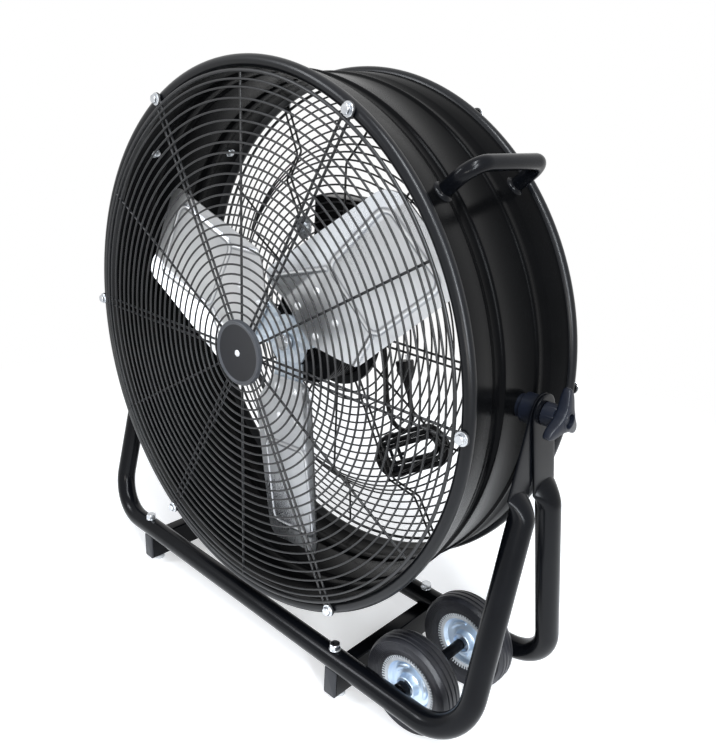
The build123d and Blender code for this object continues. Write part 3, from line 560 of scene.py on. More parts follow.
def hub_disc():
    """Dark disc whose raised rim gets a lighter copy of its paint as a painted highlight, and its rivet."""
    back = front_face_d - wire
    face = back - 7.0
    profile = [(0, back), (disc_r - 0.4, back), (disc_r, back - 0.5), (disc_r, face + 2.2)]
    profile += [(disc_r - 0.6, face + 0.8), (disc_r - 2, face), (disc_r - 3.2, face + 0.2)]
    profile += [(disc_r - 4.4, face + 1.3), (disc_r - 5.4, face + 1.6), (0, face + 1.6)]
    bm = bmesh.new()
    lathe(bm, profile, at(0, 0, 0), REAR, 96)
    disc = finish_mesh(bm, "hub_disc", disc_paint, 30, "drum", "front_disc")
    disc.data.materials.append(disc_rim_highlight[0])
    # faces of the raised rim take the painted highlight
    for patch in disc.data.polygons:
        if hypot(patch.center.x / MM, patch.center.z / MM - axis_z) > disc_r - 5.2:
            patch.material_index = 1
    bm = bmesh.new()
    lathe(bm, [(0, 2.7), (1.4, 2.6), (2.6, 2.1), (3.4, 1.2), (4.0, 0.9), (4.0, 0)], at(0, face + 1.6, 0),
          FRONT, 32)
    finish_mesh(bm, "hub_rivet", light_plastic, 40, "drum", "disc_rivet")


# ---- motor
def motor():
    """Housing with cooling rings, a flange at the rear and an opening for the shaft."""
    bm = bmesh.new()
    profile = [(9, -9.5), (24, -9.5), (26, -8), (30, -8), (32, -9.5), (46, -9.5), (48, -8.2), (49.5, -6),
               (60, -0.8), (61.6, 0.6), (62, 2)]
    for k in range(8):
        d = 7 + 5.4 * k
        profile += [(62, d - 1.2), (60.4, d - 0.6), (60.4, d + 0.6), (62, d + 1.2)]
    profile += [(62, 51), (64, 53), (75, 54.6), (76, 55.6), (76, 60.6), (75, 61.5), (0, 61.5)]
    lathe(bm, profile + [(0, 12.5), (9, 12.5)], at(0, 0, 0), REAR, 96, closed=True)
    for k in range(4):
        a = 45 + 90 * k
        hex_bolt(bm, around(39, a, -9.5), FRONT, 7.0, 3.2, 0.3 * k)
    finish_mesh(bm, "motor_housing", motor_paint, 30, "drum", "motor")


# ---- fan
# s runs out along a blade and c across it; up to bend_at along c the sheet is flat
blade_angle, pitch, bend, bend_at = 36.9, 9.0, 19.5, 42.0
hub_d, plate_rise = -29.5, 11.2
root_s, tip_s_trail, tip_s_lead = 45.0, 287.0, 271.0
root_half, slant_c, slant_wide, slant_s = 76, -22, 54, 47   # slanted corner of the root
chord_mid, taper_s, taper = 68.4, 190.0, 0.063
tip_half, tip_corner = 66, 20.0
blade_sheet = 2.0
loop_high, loop_half, field_high, field_edge = 1.9, 3.2, 0.9, 5     # pressed loop and the field inside it
crease_high, crease_half = 1.7, 3.0


def half_chord(s):
    return chord_mid - taper * (s - taper_s)


def near_line(p, line, closed=False):
    """Distance of a flat point from a run of points."""
    best = 1e9
    for a, b in neighbours(line, closed):
        ab, ap = b - a, p - a
        t = max(0.0, min(1.0, ap.dot(ab) / ab.length_squared))
        best = min(best, (ap - ab * t).length)
    return best


loop_line = [Vector((*v, 0)) for v in ((141, -55), (259, -48), (249, 50), (136, 39))]
loop_line = [v.to_2d() for v in fillet(loop_line, 13, 5, closed=True)]
root_lines = [[Vector((64, 65)), Vector((131, 38))], [Vector((139, -53)), Vector((92, -72))]]
rivet_spots = ((60, -18), (60, 24), (100, -18), (100, 24))


def inside(p, ring):
    hit = False
    for a, b in neighbours(ring, True):
        if (a.y > p.y) != (b.y > p.y) and p.x < (b.x - a.x) * (p.y - a.y) / (b.y - a.y) + a.x:
            hit = not hit
    return hit


def rib_high(d, high, half_wide):
    """Height of a rounded rib at distance d from its middle."""
    return high * max(0.0, cos(min(d / half_wide, 1) * pi / 2)) ** 1.4


def press(s, c):
    """Height of the pressed forms towards the front, and how far a point is from their line."""
    p = Vector((s, c))
    d = near_line(p, loop_line, True)
    high = rib_high(d, loop_high, loop_half)
    if inside(p, loop_line):
        high += field_high * min(1.0, d / field_edge)
    for line in root_lines:
        near = near_line(p, line)
        high = max(high, rib_high(near, crease_high, crease_half))
        d = min(d, near)
    return high, d


def blade_grid(ns, nc):
    """Rows of span, chord, pressed height and distance from the pressed lines."""
    rows = []
    for j in range(nc + 1):
        v = -1 + 2 * j / nc
        edge = (1 - abs(v)) * tip_half
        cut = tip_corner - sqrt(max(0.0, tip_corner ** 2 - max(0.0, tip_corner - edge) ** 2))
        tip = tip_s_trail + (tip_s_lead - tip_s_trail) * (v + 1) / 2 - cut
        c_root = v * root_half
        root = root_s
        if c_root <= slant_c:
            root += (slant_c - c_root) / slant_wide * slant_s
        if v > 0:
            root += cut
        elif c_root < slant_c:
            root += 0.3 * cut
        row = []
        for i in range(ns + 1):
            s = root + (tip - root) * i / ns
            c = v * half_chord(s)
            row.append((s, c, *press(s, c)))
        rows.append(row)
    return rows


blade_rows = blade_grid(*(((190, 104))))


def blade(number, angle):
    """One bent sheet with its pressed forms, painted shade on their flanks and a painted highlight on their
    crests, and its rivets.
    """
    es = Vector((cos(radians(angle)), 0, sin(radians(angle))))
    front = Vector(FRONT)
    et = front.cross(es)
    pitch_cos = cos(radians(pitch))
    t = et * pitch_cos + front * sin(radians(pitch))
    up = es.cross(t)
    origin = at(0, hub_d, 0) + front * plate_rise
    bend_c = bend_at / pitch_cos
    total = radians(pitch + bend)

    def place(s, c, high):
        if c <= bend_at:
            x, n = c / pitch_cos, 0.0
        else:
            run = (c - bend_at) / cos(total)
            x, n = bend_c + run * cos(radians(bend)), run * sin(radians(bend))
        return origin + es * s + t * x + up * (n + high)

    bm = bmesh.new()
    flank_shade = bm.verts.layers.float.new("flank_shade")
    crest_highlight = bm.verts.layers.float.new("crest_highlight")
    rims = []
    for side in (1, -1):
        grid = []
        for row in blade_rows:
            line = []
            for s, c, high, d in row:
                vert = bm.verts.new(place(s, c, high + side * blade_sheet / 2))
                # painted shade on the flanks of the pressed lines, painted highlight on their crests
                vert[flank_shade] = max(0.0, 1 - abs(d - 2.9) / 1.6)
                vert[crest_highlight] = max(0.0, 1 - d / 1.4)
                line.append(vert)
            grid.append(line)
        for a, b in zip(grid, grid[1:]):
            for i in range(len(a) - 1):
                bm.faces.new((a[i], a[i + 1], b[i + 1], b[i]))
        inner = grid[1:-1]
        rims.append(grid[0] + [row[-1] for row in inner] + grid[-1][::-1] + [row[0] for row in inner[::-1]])
    front_rim, back_rim = rims
    for i in range(len(front_rim)):
        j = (i + 1) % len(front_rim)
        bm.faces.new((front_rim[i], front_rim[j], back_rim[j], back_rim[i]))
    name = "blade_%d" % number
    finish_mesh(bm, "pressed_" + name, blade_metal, 40, "fan", name)
    bm = bmesh.new()
    for s, c in rivet_spots:
        lathe(bm, [(0, 2.8), (1.8, 2.7), (3.4, 2.1), (4.5, 1.0), (4.9, 0), (4.9, -0.6)],
              place(s, c, blade_sheet / 2), up, 24)
        lathe(bm, [(0, 1.2), (1.5, 1.1), (2.6, 0.5), (3, -1)], place(s, c, -blade_sheet / 2 - 3.1), -up, 16)
    finish_mesh(bm, "rivets_%d" % number, rivet_metal, 40, "fan")


def fan():
    for k in range(3):
        blade(k + 1, blade_angle + 120 * k)
    bm = bmesh.new()
    start = hub_d + 1.5
    lathe(bm, [(7.02, start), (16.2, start), (17, start + 0.8), (17, -13.4), (16.2, -12.6), (7.02, -12.6)],
          at(0, 0, 0), REAR, 64, closed=True)
    hex_bolt(bm, at(0, -21, 17), UP, 6.0, 2.6)
    finish_mesh(bm, "collar", steel, 30, "fan", "hub_collar")
    bm = bmesh.new()
    lathe(bm, [(0, -45), (6.2, -45), (7, -44.2), (7, -41), (10, -41), (11, -40), (11, -33.4), (10, -32.4),
               (7, -32.4), (7, 10.2), (0, 10.2)], at(0, 0, 0), REAR, 48)
    finish_mesh(bm, "shaft", steel, 30, "fan", "motor_shaft")


# ---- pivots and knobs
def pivots():
    """Boss on the drum, sleeve over it and threaded stud through the hoops, all in one plastic moulding, and
    the pivot bolt heads.
    """
    bm = bmesh.new()
    for side in (1, -1):
        profile = [(0, 316.5), (12.6, 316.5), (12.6, 323.4), (15.2, 323.5), (16, 324.3), (16, 337.9),
                   (15.2, 338.7), (5.0, 338.7)]
        x = 339.6
        while x < 370:
            profile += [(5.0, x), (4.6, x + 0.5)]
            x += 1.1
        profile += [(4.4, 370.6), (0, 370.9)]
        lathe(bm, profile, (0, pivot_y, pivot_z), (side, 0, 0), 64)
    finish_mesh(bm, "pivot_sleeve_pair", plastic, 30, "drum", "pivot_sleeves")
    bm = bmesh.new()
    for side in (1, -1):
        hex_bolt(bm, (side * 315.7, pivot_y, pivot_z), (-side, 0, 0), 16.0, 4.0, 0.4)
    finish_mesh(bm, "pivot_bolt_heads", bolt_zinc, 30, "drum", "pivot_screws")


def knob(name, side):
    """Three-lobed hand knob with a round boss and a recess in its top."""
    base, top = 346.3, 346.3 + 27.5
    reach, waist, turn = 32.0, 12.6, 83.7
    angles = full_turn(144)
    radii = []
    for t in angles:
        swing = 3 * (t - radians(turn))
        near_arm = (1 + cos(swing)) / 2
        radii.append(waist + (reach - waist) * (0.62 * near_arm ** 6 + 0.38 * near_arm ** 1.6))

    def ring(x, inset=0.0, round_r=None, slope=0.0):
        pts = []
        for t, lobe in zip(angles, radii):
            out = side * (x - slope * (lobe - waist) / (reach - waist))
            r = round_r if round_r is not None else lobe - inset * (0.7 + 0.3 * lobe / reach)
            pts.append(Vector((out, pivot_y + r * cos(t), pivot_z + r * sin(t))))
        return pts

    boss = ((0, 5.2), (0, 11.8), (0.6, 12.5), (13.4, 12.3))
    under_arms = ((14.2, 2.6), (14.7, 1.1), (15.6, 0.3), (16.8, 0))
    over_arms = ((4, 0, 3.4), (2.4, 0.3, 3.6), (1.4, 1.1, 3.6), (0.9, 2.6, 3.4))
    collar = ((0.8, 9.9), (0.2, 9.6), (0, 9.1), (0, 8.2), (0.4, 7.7), (7, 7.3), (7, 5.2))
    loops = [ring(base + x, round_r=r) for x, r in boss]
    loops += [ring(base + x, inset) for x, inset in under_arms]
    loops += [ring(top - x, inset, slope=slope) for x, inset, slope in over_arms]
    loops += [ring(top - x, round_r=r) for x, r in collar]
    bm = bmesh.new()
    skin(bm, loops, closed_way=True)
    finish_mesh(bm, name + "_moulding", plastic, 38, name, name)


# ---- handles
handle_angle = {"right_handle": 41.0, "left_handle": 139.0}
handle_ends = (5.5 - 62.0, 5.5 + 62.0)
grip_r, grip_half = 365, 8.0


def handles():
    """Bent tubes with a collar at each foot, and the screws that hold them from inside the drum."""
    first, last = handle_ends
    bend = fillet([Vector((r, d, 0)) for r, d in
                   ((flare_r, first), (grip_r, first), (grip_r, last), (flare_r, last))], 24, 12)
    foot_collar = [(8, 3.6), (8.6, 2.2), (10, 0.8), (11.4, 0.1), (11.4, -0.3), (8, -0.3)]
    for name, a in handle_angle.items():
        bm = bmesh.new()
        tube(bm, [around(p.x, a, p.y) for p in bend], grip_half, 28)
        for end in handle_ends:
            out = (around(2, a, end) - around(1, a, end)).normalized()
            lathe(bm, foot_collar, around(flare_r, a, end), out, 36, closed=True)
        finish_mesh(bm, name + "_tube", powder, 35, "drum", name)
    screw = [(0, 0), (6.6, 0), (7, 0.4), (6.6, 1), (5.2, 1), (5, 2.6), (3.4, 4), (0, 4.4)]
    bm = bmesh.new()
    for a in handle_angle.values():
        for end in handle_ends:
            inward = around(1, a, end) - around(2, a, end)
            lathe(bm, screw, around(flare_r - 2.2, a, end), inward, 28)
    finish_mesh(bm, "handle_screws", bolt_zinc, 35, "drum")


# ---- stand
tube_r, hoop_reach, hoop_z, leg_x, corner_r = 14.0, 90.6, 62.0, 350.0, 62.0
flat_thick, flat_wide, flat_long, press_long, press_droop = 3.5, 40.0, 85.0, 32.0, 10.0


def hoop(name, side, plate_x):
    """Bent tube whose two ends are pressed flat round the pivots."""
    leg_long = hypot(hoop_reach, pivot_z - hoop_z)
    up = Vector((0, -side * hoop_reach, pivot_z - hoop_z)).normalized()
    ex = Vector(RIGHT)
    across = up.cross(ex)
    origin = Vector((0, pivot_y, pivot_z))
    thin, wide, n = flat_thick / 2, flat_wide / 2, 40

    def section(x, down, way, a, b, flat=0.0, droop=0.0):
        """Outline at x and down the leg, half widths a along way and b across, its edges lower by droop."""
        centre = origin + Vector((x, 0, 0)) + up * down
        pts = []
        for t in full_turn(n):
            px = copysign(abs(cos(t)) ** (1 - 0.72 * flat), cos(t))
            py = copysign(abs(sin(t)) ** (1 - 0.15 * flat), sin(t))
            pts.append(centre + way * px * a + across * py * b - up * droop * sin(t) * sin(t))
        return pts

    loops = []
    for sx in (-1, 1):
        half_run = []
        x_flat = sx * (plate_x + thin)
        for k in range(9):
            t = pi / 2 * k / 8
            half_run.append(section(x_flat, wide * cos(t), ex, thin * (0.55 + 0.45 * min(1, sin(t) * 3)),
                                    max(wide * sin(t), 1.2), 1.0))
        half_run.append(section(x_flat, -flat_long * 0.5, ex, thin, wide, 1.0))
        half_run.append(section(x_flat, -flat_long, ex, thin, wide, 1.0, press_droop))
        for k in range(1, 13):
            f = k / 12
            e = 1 - (1 - f) ** 2.1
            half_run.append(section(x_flat + (sx * leg_x - x_flat) * e, -flat_long - press_long * f, ex,
                                    thin + (tube_r - thin) * e, wide + (tube_r - wide) * e, 1 - e,
                                    press_droop * (1 - f)))
        corner_x, corner_z = leg_x - corner_r, -leg_long + corner_r
        for k in range(17):
            t = pi / 2 * k / 16
            x = sx * (corner_x + corner_r * cos(t))
            down = corner_z - corner_r * sin(t)
            way = ex * cos(t) - up * sin(t) * sx
            half_run.append(section(x, down, way, tube_r, tube_r))
        if sx == 1:
            half_run = [[loop[(n // 2 - k) % n] for k in range(n)] for loop in half_run[::-1]]
        loops += half_run
    bm = bmesh.new()
    skin(bm, loops)
    finish_mesh(bm, name + "_tube", powder, 32, "stand", name)


def stand():
    """Two hoops on two square bars, with caps, feet and bolts at the ends of the bars."""
    hoop("front_hoop", -1, 339.0)
    hoop("rear_hoop", 1, 342.5)
    bar_at = {"left_cross_bar": -257.0, "right_cross_bar": 157.0}
    bar_half, bar_mid_z, foot_out = 95, 28, 79
    outline = rounded_box(20, 40, 2.6)
    for name, x in bar_at.items():
        bm = bmesh.new()
        prism(bm, outline, (x, pivot_y - bar_half, bar_mid_z), RIGHT, UP, REAR, 2 * bar_half)
        finish_mesh(bm, name + "_tube", powder, 32, "stand", name)
    ends = [(x, side) for x in bar_at.values() for side in (-1, 1)]
    bm = bmesh.new()
    for x, side in ends:
        prism(bm, outline, (x, pivot_y + side * 95.05, bar_mid_z), RIGHT, UP, (0, side, 0), 2.9, edge=1.1)
    finish_mesh(bm, "end_caps", cap_plastic, 32, "stand", "bar_end_caps")
    bm = bmesh.new()
    for x, side in ends:
        lathe(bm, [(0, 0), (7.2, 0), (8, 0.8), (8, 3.4), (7.2, 4.4), (4.4, 4.8), (4.4, 7.9), (0, 7.9)],
              (x, pivot_y + side * foot_out, 0), UP, 32)
    finish_mesh(bm, "feet", light_plastic, 32, "stand", "glide_feet")
    bm = bmesh.new()
    for x, side in ends:
        hex_bolt(bm, (x, pivot_y + side * hoop_reach, hoop_z + tube_r - 0.4), UP, 12.6, 8.2,
                 0.5 * side, (7.4, 1.4))
    finish_mesh(bm, "hoop_bolts", bolt_zinc, 30, "stand", "frame_bolts")


# ---- wheels
def wheel(side_name):
    """Rubber tyre with grooves and a ribbed sidewall on a pressed rim with round recesses."""
    centre = Vector(joint_at[side_name + "_wheel_spin"])
    axis = Vector(REAR)
    body = side_name + "_wheel"
    bm = bmesh.new()
    half_tyre = [(62.5, 0), (62.5, 2.2), (61.0, 2.9), (61.0, 4.3), (62.3, 5.0), (62.1, 8.2), (60.6, 8.9),
                 (60.4, 10.2), (61.2, 10.9), (60.0, 13.2)]
    for k in range(11):
        r = 58.4 - 1.7 * k
        out = 15.5 - 0.02 * (r - 55.5) ** 2
        half_tyre += [(r, out), (r - 1.0, out), (r - 1.2, out - 0.5), (r - 1.5, out - 0.5)]
    half_tyre += [(38.6, 10.3), (36.0, 9.7), (35.0, 8.6)]
    profile = half_tyre + [(34.8, 8.4), (34.8, -8.4)] + [(r, -a) for r, a in half_tyre[::-1][:-1]]
    lathe(bm, profile, centre, axis, 120, closed=True)
    finish_mesh(bm, side_name + "_tyre_rubber", rubber, 32, body, side_name + "_tyre")
    bm = bmesh.new()
    flange = [(35.2, -8.8), (31.6, -8.7), (30.8, -8.0), (29.7, -4.8), (28.6, -3.8), (22, -3.7), (17.6, -4.1),
              (14.9, -5.2), (13.6, -7.2), (13.3, -14.4), (12.8, -15), (11.7, -15), (11.2, -14.3), (11.0, -9),
              (6.075, -9)]
    profile = flange + [(r, -a) for r, a in flange[::-1]]
    lathe(bm, profile, centre, axis, 120, closed=True)
    for s in (-1, 1):
        for k in range(3):
            middle = radians(30 + 120 * k + 20 * s)
            run = [centre + Vector((cos(a), 0, sin(a))) * 22.6 + axis * s * 3.4
                   for a in (middle + radians(-34 + 68 * i / 12) for i in range(13))]
            tube(bm, run, [3.9 * sin(pi * (i + 1.2) / 14.4) ** 0.5 for i in range(13)], 14)
    finish_mesh(bm, side_name + "_rim_pressing", rim_zinc, 32, body, side_name + "_rim")
    bm = bmesh.new()
    for s in (-1, 1):
        ring = [(31.5, 8.8), (31.8, 10.0), (34.6, 10.6), (35.4, 10.4), (35.4, 9.2), (31.5, 8.6)]
        lathe(bm, [(r, s * a) for r, a in ring], centre, axis, 120, closed=True)
        for a in full_turn(64):
            out = Vector((cos(a), 0, sin(a)))
            way = Vector((-sin(a), 0, cos(a)))
            skin(bm, [[centre + out * r + way * w + axis * s * (y + lift) for w, lift in
                       ((-0.85, -0.5), (-0.7, 0.45), (0.7, 0.45), (0.85, -0.5))]
                      for r, y in ((34.8, 10.2), (38.9, 10.9))])
    finish_mesh(bm, side_name + "_tyre_seat", seat_zinc, 32, body)


def wheels():
    for side_name in ("front", "rear"):
        wheel(side_name)
    x, z = joint_at["front_wheel_spin"][0], joint_at["front_wheel_spin"][2]
    bm = bmesh.new()
    for a, b, r in ((-76.6, -67.6, 10.0), (-37.0, 44.8, 7.0), (75.4, 76.6, 10.0)):
        soft = min(0.8, (b - a) / 3)
        lathe(bm, [(6.05, a), (r - soft, a), (r, a + soft), (r, b - soft), (r - soft, b), (6.05, b)],
              (x, pivot_y, z), REAR, 40, closed=True)
    finish_mesh(bm, "axle_sleeves", powder, 32, "stand", "axle_spacers")


# ---- control box
def control_box():
    """Box and lid, the screws of the lid, the speed dial, and the bolt and washer behind the grille."""
    low, high = node_box("control_box")
    cx, cz = (low[0] + high[0]) / 2, (low[2] + high[2]) / 2

    def slab(w, h, r, y, deep, edge=0.0, lift=0.0, steps=4):
        prism(bm, rounded_box(w, h, r, steps), (cx, y, cz + lift), RIGHT, UP, REAR, deep, edge)

    bm = bmesh.new()
    slab(120, 75, 5, low[1], 40, 1.6)
    slab(120, 75, 5, low[1] + 40.6, 7.4, 1.6)
    slab(117, 72, 4, low[1] + 39, 3)
    finish_mesh(bm, "switch_box", sheet_paint, 32, "drum", "control_box")
    bm = bmesh.new()
    for sx in (-1, 1):
        for sz in (-1, 1):
            dome(bm, (cx + sx * 52, low[1] + 47.9, cz + sz * 29.5), REAR, 3.4, 1.6)
    finish_mesh(bm, "box_screws", bolt_zinc, 40, "drum")
    bm = bmesh.new()
    lathe(bm, [(0, 0.3), (17, 0.3), (18, 1.3), (18, 3.2), (17.2, 5), (15.6, 6.1), (13, 6.3), (0, 6.3)],
          (cx, high[1], cz), REAR, 72)
    slab(9, 34, 3.6, high[1] + 6, 8.3, 1.2)
    finish_mesh(bm, "dial_moulding", plastic, 32, "speed_dial", "speed_dial")
    bm = bmesh.new()
    slab(1.2, 9, 0.5, high[1] + 14.1, 0.25, lift=9.5, steps=2)
    finish_mesh(bm, "dial_pointer", light_plastic, 32, "speed_dial")
    bm = bmesh.new()
    washer = around(145, 120, 0)
    lathe(bm, [(0, 0), (14.4, 0), (15, 0.5), (15, 1.1), (14.4, 1.6), (0, 1.6)],
          (washer.x, mid_y + 59.7, washer.z), REAR, 48)
    hex_bolt(bm, (washer.x, mid_y + 59.8, washer.z), FRONT, 10, 6.0)
    finish_mesh(bm, "box_washer_bolt", bolt_zinc, 30, "drum")


# ---- mains lead
cord_r, cord_d = 3.25, 85.0
box_low, gland_x, gland_long = 95.0, 48.0, 12.0
hank_x, hank_z, hank_turn = 118.0, -150.0, 32.0
hank_run, hank_out, hank_pitch = 80.0, 28.0, 7.2
n_folds, n_layers = 5, 2
lead_join, tail_leave, tie_at = 28.0, 20.0, 29.0
hank_x_way = Vector((-cos(radians(hank_turn)), 0, -sin(radians(hank_turn))))
hank_z_way = Vector(REAR)
hank_y_way = hank_z_way.cross(hank_x_way)


def hank_point(x, y, z):
    return (at(hank_x, cord_d + (n_layers - 1) / 2 * hank_pitch, hank_z) + hank_x_way * x + hank_y_way * y
            + hank_z_way * z)


def cord_route():
    """Lead down to the hank, its folds in two layers, and the tail up to the plug."""
    h = hank_run / 2
    z0 = -(n_layers - 1) / 2 * hank_pitch
    spiral = [(hank_out - k * hank_pitch / 2) * (1 if k % 2 == 0 else -1) for k in range(n_folds + 1)]
    ways = spiral + spiral[-2::-1]
    start = hank_point(-lead_join, ways[0], z0)
    lead = ((gland_x, 68), (gland_x, 50), (55, 14), (64, -22), (69, -58), (73, -90))
    points = [at(gland_x, cord_d, box_low - gland_long)]
    points += [at(x, cord_d, z) for x, z in lead]
    points += [start + hank_x_way * 40 + hank_y_way * 18, start + hank_x_way * 24]
    layer, side = 0, -1
    for i, v in enumerate(ways):
        z = z0 + layer * hank_pitch
        to_x = side * h
        if i == len(ways) - 1:
            points += [hank_point(-to_x * 0.5, v, z)]
            break
        if i == 0:
            points += [hank_point(to_x * 0.75, v, z)]
        elif i == n_folds:
            layer = 1
            for along, climb in ((-0.6, 0), (-0.2, 0.3), (0.2, 0.7), (0.6, 1)):
                points.append(hank_point(to_x * along, v, z + hank_pitch * climb))
            z = z0 + layer * hank_pitch
        else:
            points += [hank_point(to_x * along, v, z) for along in (-0.6, 0, 0.6)]
        w = ways[i + 1]
        mid, r = (v + w) / 2, abs(v - w) / 2
        rise = 1 if v > w else -1
        for k in range(9):
            t = pi * k / 8
            grow = 1 / cos(pi / 16) if 0 < k < 8 else 1.0
            points.append(hank_point(to_x + side * r * sin(t) * grow, mid + rise * r * cos(t) * grow, z))
        side = -side
    tail_start = hank_point(tail_leave, ways[-1], z0 + hank_pitch)
    tail_d = cord_d + (n_layers - 1) * hank_pitch
    points += [tail_start - hank_x_way * 24]
    points += [at(x, tail_d, z) for x, z in ((114, -102), (106, -79), (100, -57))]
    return points


def lead_curve(points):
    """Round cord along the route."""
    curve = bpy.data.curves.new("mains_lead", "CURVE")
    curve.dimensions = "3D"
    curve.bevel_depth = cord_r * MM
    curve.bevel_resolution = 4
    curve.resolution_u = 6
    curve.use_fill_caps = True
    spline = curve.splines.new("NURBS")
    spline.points.add(len(points) - 1)
    for spot, p in zip(spline.points, points):
        spot.co = (*(p * MM), 1)
    spline.order_u = 3
    spline.use_endpoint_u = True
    lead = add_object("mains_lead", curve)
    curve.materials.append(sheath[0])
    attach(lead, "drum")
    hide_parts("cord_lead", "cord_hank", "cord_tail")
    return lead


def lead_sleeve():
    """Ribbed sleeve where the lead leaves the box."""
    bm = bmesh.new()
    profile = [(cord_r + 0.05, 0), (8.4, 0), (8.4, 3), (6.6, 3.6)]
    for k in range(6):
        y = 5 + 4.4 * k
        r = 6.4 - 0.42 * k
        profile += [(r, y - 1.2), (r, y + 1.2), (r - 1.1, y + 1.6), (r - 1.1, y + 2.6)]
    profile += [(cord_r + 0.5, 32), (cord_r + 0.05, 32.4)]
    lathe(bm, profile, at(gland_x, cord_d, box_low), (0, 0, -1), 36, closed=True)
    finish_mesh(bm, "lead_sleeve", sheath, 32, "drum", "strain_relief")


def plug(end, way):
    """Moulded plug on the end of the lead, and its blades."""
    ey = Vector(REAR)
    ex = way.cross(ey)
    # place along the plug, width, depth and corner of each section
    shapes = ((-12, 8.2, 8.2, 4.1), (-6, 9.6, 9.2, 4.4), (0, 11, 10, 4.6), (6, 14, 12, 5),
              (12, 20, 16, 6), (15, 23.4, 17.6, 6.6), (18, 24, 18, 6.6), (22, 22.6, 17, 6.4),
              (27, 24, 18, 6.6), (29, 23.4, 17.4, 6.2), (30, 21.6, 15.6, 5.4))
    bm = bmesh.new()
    skin(bm, [[end + way * h + ex * x + ey * y for x, y in rounded_box(w, deep, r)]
              for h, w, deep, r in shapes])
    finish_mesh(bm, "plug_body", sheath, 34, "drum", "plug")
    bm = bmesh.new()
    for s in (-1, 1):
        prism(bm, rounded_box(1.5, 6, 0.6, 2), end + way * 29.5 + ex * s * 6, ex, ey, way, 8.4, edge=0.4)
    finish_mesh(bm, "plug_blades", bolt_zinc, 32, "drum")


def hank_tie():
    """Band round the two layers of the hank, with its lock."""
    low = hank_out - hank_pitch / 2
    wide = hank_out + low + 2 * (cord_r + 0.9)
    deep = (n_layers - 1) * hank_pitch + 2 * (cord_r + 0.9)
    centre = hank_point(tie_at - 3, (hank_out - low) / 2, 0)
    bm = bmesh.new()
    skin(bm, [[centre + hank_x_way * x + hank_y_way * (a * (1 + 2 * grow / wide))
               + hank_z_way * (b * (1 + 2 * grow / deep)) for a, b in rounded_box(wide, deep, 3.6)]
              for x, grow in ((0, 0), (0.3, 0.5), (5.7, 0.5), (6, 0), (6, -0.6), (0, -0.6))], closed_way=True)
    prism(bm, rounded_box(9, 5, 1), centre + hank_x_way * 3 - hank_y_way * 2 + hank_z_way * (deep / 2),
          hank_x_way, hank_y_way, hank_z_way, 3.4, edge=0.6)
    finish_mesh(bm, "tie_band", plastic, 34, "drum", "hank_tie")


def curve_length(curve):
    """Length in metres of the middle line of a cord."""
    line = curve.copy()
    line.bevel_depth = 0
    line.use_fill_caps = False
    bare = bpy.data.objects.new("bare_line", line)
    spine = bpy.data.meshes.new_from_object(bare)
    length = sum((spine.vertices[e.vertices[0]].co - spine.vertices[e.vertices[1]].co).length
                 for e in spine.edges)
    bpy.data.objects.remove(bare)
    bpy.data.meshes.remove(spine)
    bpy.data.curves.remove(line)
    return length


def cord():
    """The lead with its sleeve, plug and tie."""
    points = cord_route()
    lead = lead_curve(points)
    lead_sleeve()
    plug(points[-1], (points[-1] - points[-2]).normalized())
    hank_tie()
    length = curve_length(lead.data)
    print("lead length %.3f m" % length)


# ---- the frame's own nodes
def dress_nodes():
    """Nodes that keep their own mesh get a detailed material."""
    for name, mat in (("spider", galvanised[0]), ("wheel_axle", steel[0])):
        slots = nodes[name].data.materials
        slots.clear()
        slots.append(mat)


# ---- camera, light, floor
cam_at = Vector((669.5, -636.35, 707.1))
cam_yaw, cam_pitch, cam_roll = 42.454, 19.682, 2.824
cam_focal = 740.35      # in pixels of the photograph
photo_long = 744


def camera():
    yaw, down, roll = (radians(v) for v in (cam_yaw, cam_pitch, cam_roll))
    ahead = Vector((-sin(yaw) * cos(down), cos(yaw) * cos(down), -sin(down)))
    right = Vector((cos(yaw), sin(yaw), 0))
    up = right.cross(ahead)
    right, up = right * cos(roll) + up * sin(roll), up * cos(roll) - right * sin(roll)
    data = bpy.data.cameras.new("camera")
    data.sensor_width = 36.0
    data.lens = cam_focal * data.sensor_width / photo_long
    data.clip_end = 50.0
    obj = add_object("camera", data)
    obj.matrix_world = Matrix.Translation(cam_at * MM) @ Matrix((right, up, -ahead)).transposed().to_4x4()
    bpy.context.scene.camera = obj


def lamp(name, place, target, size, power, colour):
    """Rectangular soft light, in metres and watts."""
    data = bpy.data.lights.new(name, "AREA")
    data.shape = "RECTANGLE"
    data.size, data.size_y = size
    data.energy = power
    data.color = colour
    obj = add_object(name, data)
    obj.location = place
    obj.rotation_euler = (Vector(target) - Vector(place)).to_track_quat("-Z", "Y").to_euler()


def seen_ray(tree):
    """1 where the camera, a glossy or a clear surface looks, 0 for the light that falls on things."""
    path = new_node(tree, "LightPath")
    value = path.outputs["Is Camera Ray"]
    for name in ("Is Glossy Ray", "Is Transmission Ray"):
        value = maths(tree, "MAXIMUM", value, path.outputs[name])
    return value


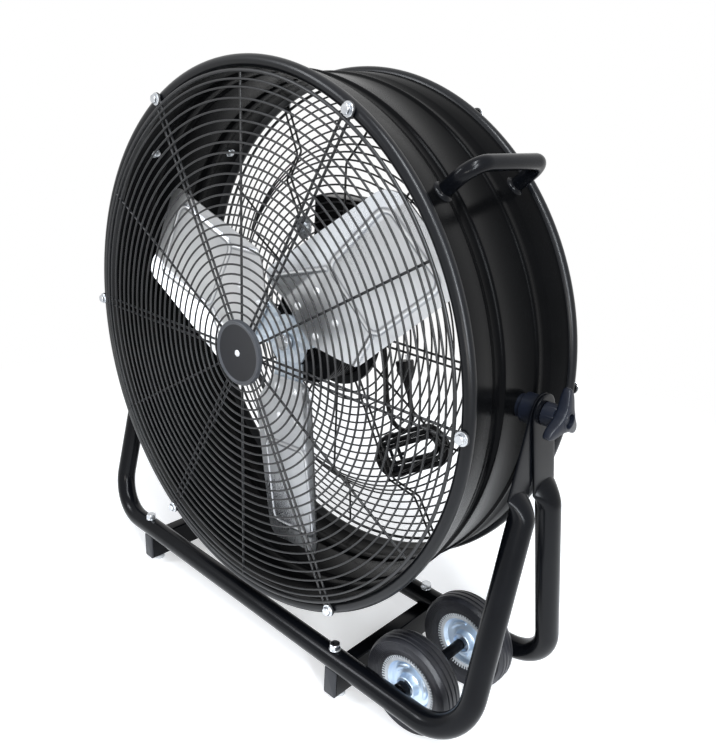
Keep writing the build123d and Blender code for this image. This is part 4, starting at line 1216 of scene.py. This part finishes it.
def light():
    """Four soft lights, and surroundings that look white and shed a dimmer, bluish light."""
    lamp("right_arc", (2.0, -1.0, 1.25), (0, 0, 0.5), (0.26, 1.5), 46, (0.9, 0.95, 1.0))
    lamp("upper_arc", (1.0, -0.85, 2.4), (0, 0, 0.5), (0.26, 1.5), 46, (0.92, 0.96, 1.0))
    lamp("window", (-1.6, -2.2, 2.2), (0, 0, 0.4), (0.3, 1.1), 34, (0.92, 0.95, 1.0))
    lamp("low", (1.5, -2.0, 0.5), (0, 0, 0.4), (0.9, 0.2), 10, (1.0, 0.97, 0.93))
    world = bpy.data.worlds.new("studio")
    bpy.context.scene.world = world
    world.use_nodes = True
    tree = world.node_tree
    tree.nodes.clear()
    dim = new_node(tree, "Background", Color=(0.86, 0.9, 0.96, 1), Strength=0.5)
    white = new_node(tree, "Background", Color=(1, 1, 1, 1))
    mix = new_node(tree, "MixShader", {0: seen_ray(tree), 1: dim.outputs[0], 2: white.outputs[0]})
    new_node(tree, "OutputWorld", {0: mix.outputs[0]})
    bpy.context.scene.view_settings.view_transform = "Standard"


def floor():
    """Pale floor that keeps the shadow near the fan and is seen white further out."""
    size, low = 12000.0 * MM, -0.6 * MM
    corners = [(x * size, y * size, low) for x, y in ((-1, -1), (1, -1), (1, 1), (-1, 1))]
    mesh = bpy.data.meshes.new("floor")
    mesh.from_pydata(corners, [], [(0, 1, 2, 3)])
    obj = add_object("floor", mesh)
    mat, tree, shader = node_tree("floor")
    shader.inputs["Roughness"].default_value = 0.6
    shader.inputs["Specular IOR Level"].default_value = 0.2
    pale = ramp(tree, noise(tree, 3, 2), 0.3, 0.7, (0.86, 0.86, 0.86), (0.88, 0.88, 0.88))
    tree.links.new(pale, shader.inputs["Base Color"])
    seen = seen_ray(tree)
    lift = new_node(tree, "Emission", {1: maths(tree, "MULTIPLY", seen, 0.45)})
    near = new_node(tree, "AddShader", {0: shader.outputs[0], 1: lift.outputs[0]})
    white = new_node(tree, "Emission")
    place = new_node(tree, "TexCoord")
    away = new_node(tree, "VectorMath", {0: place.outputs["Object"]})
    away.operation = "LENGTH"
    fade = ramp(tree, away.outputs["Value"], 0.5, 1.3, 0.0, 1.0)
    far = maths(tree, "MULTIPLY", fade, seen)
    mix = new_node(tree, "MixShader", {0: far, 1: near.outputs[0], 2: white.outputs[0]})
    out = [n for n in tree.nodes if n.type == "OUTPUT_MATERIAL"][0]
    tree.links.new(mix.outputs[0], out.inputs[0])
    mesh.materials.append(mat)


camera()
light()
floor()
cord()
drum_shell()
front_grille()
rear_grille()
grille_fixings()
hub_disc()
motor()
fan()
pivots()
knob("right_knob", 1)
knob("left_knob", -1)
handles()
stand()
wheels()
control_box()
dress_nodes()
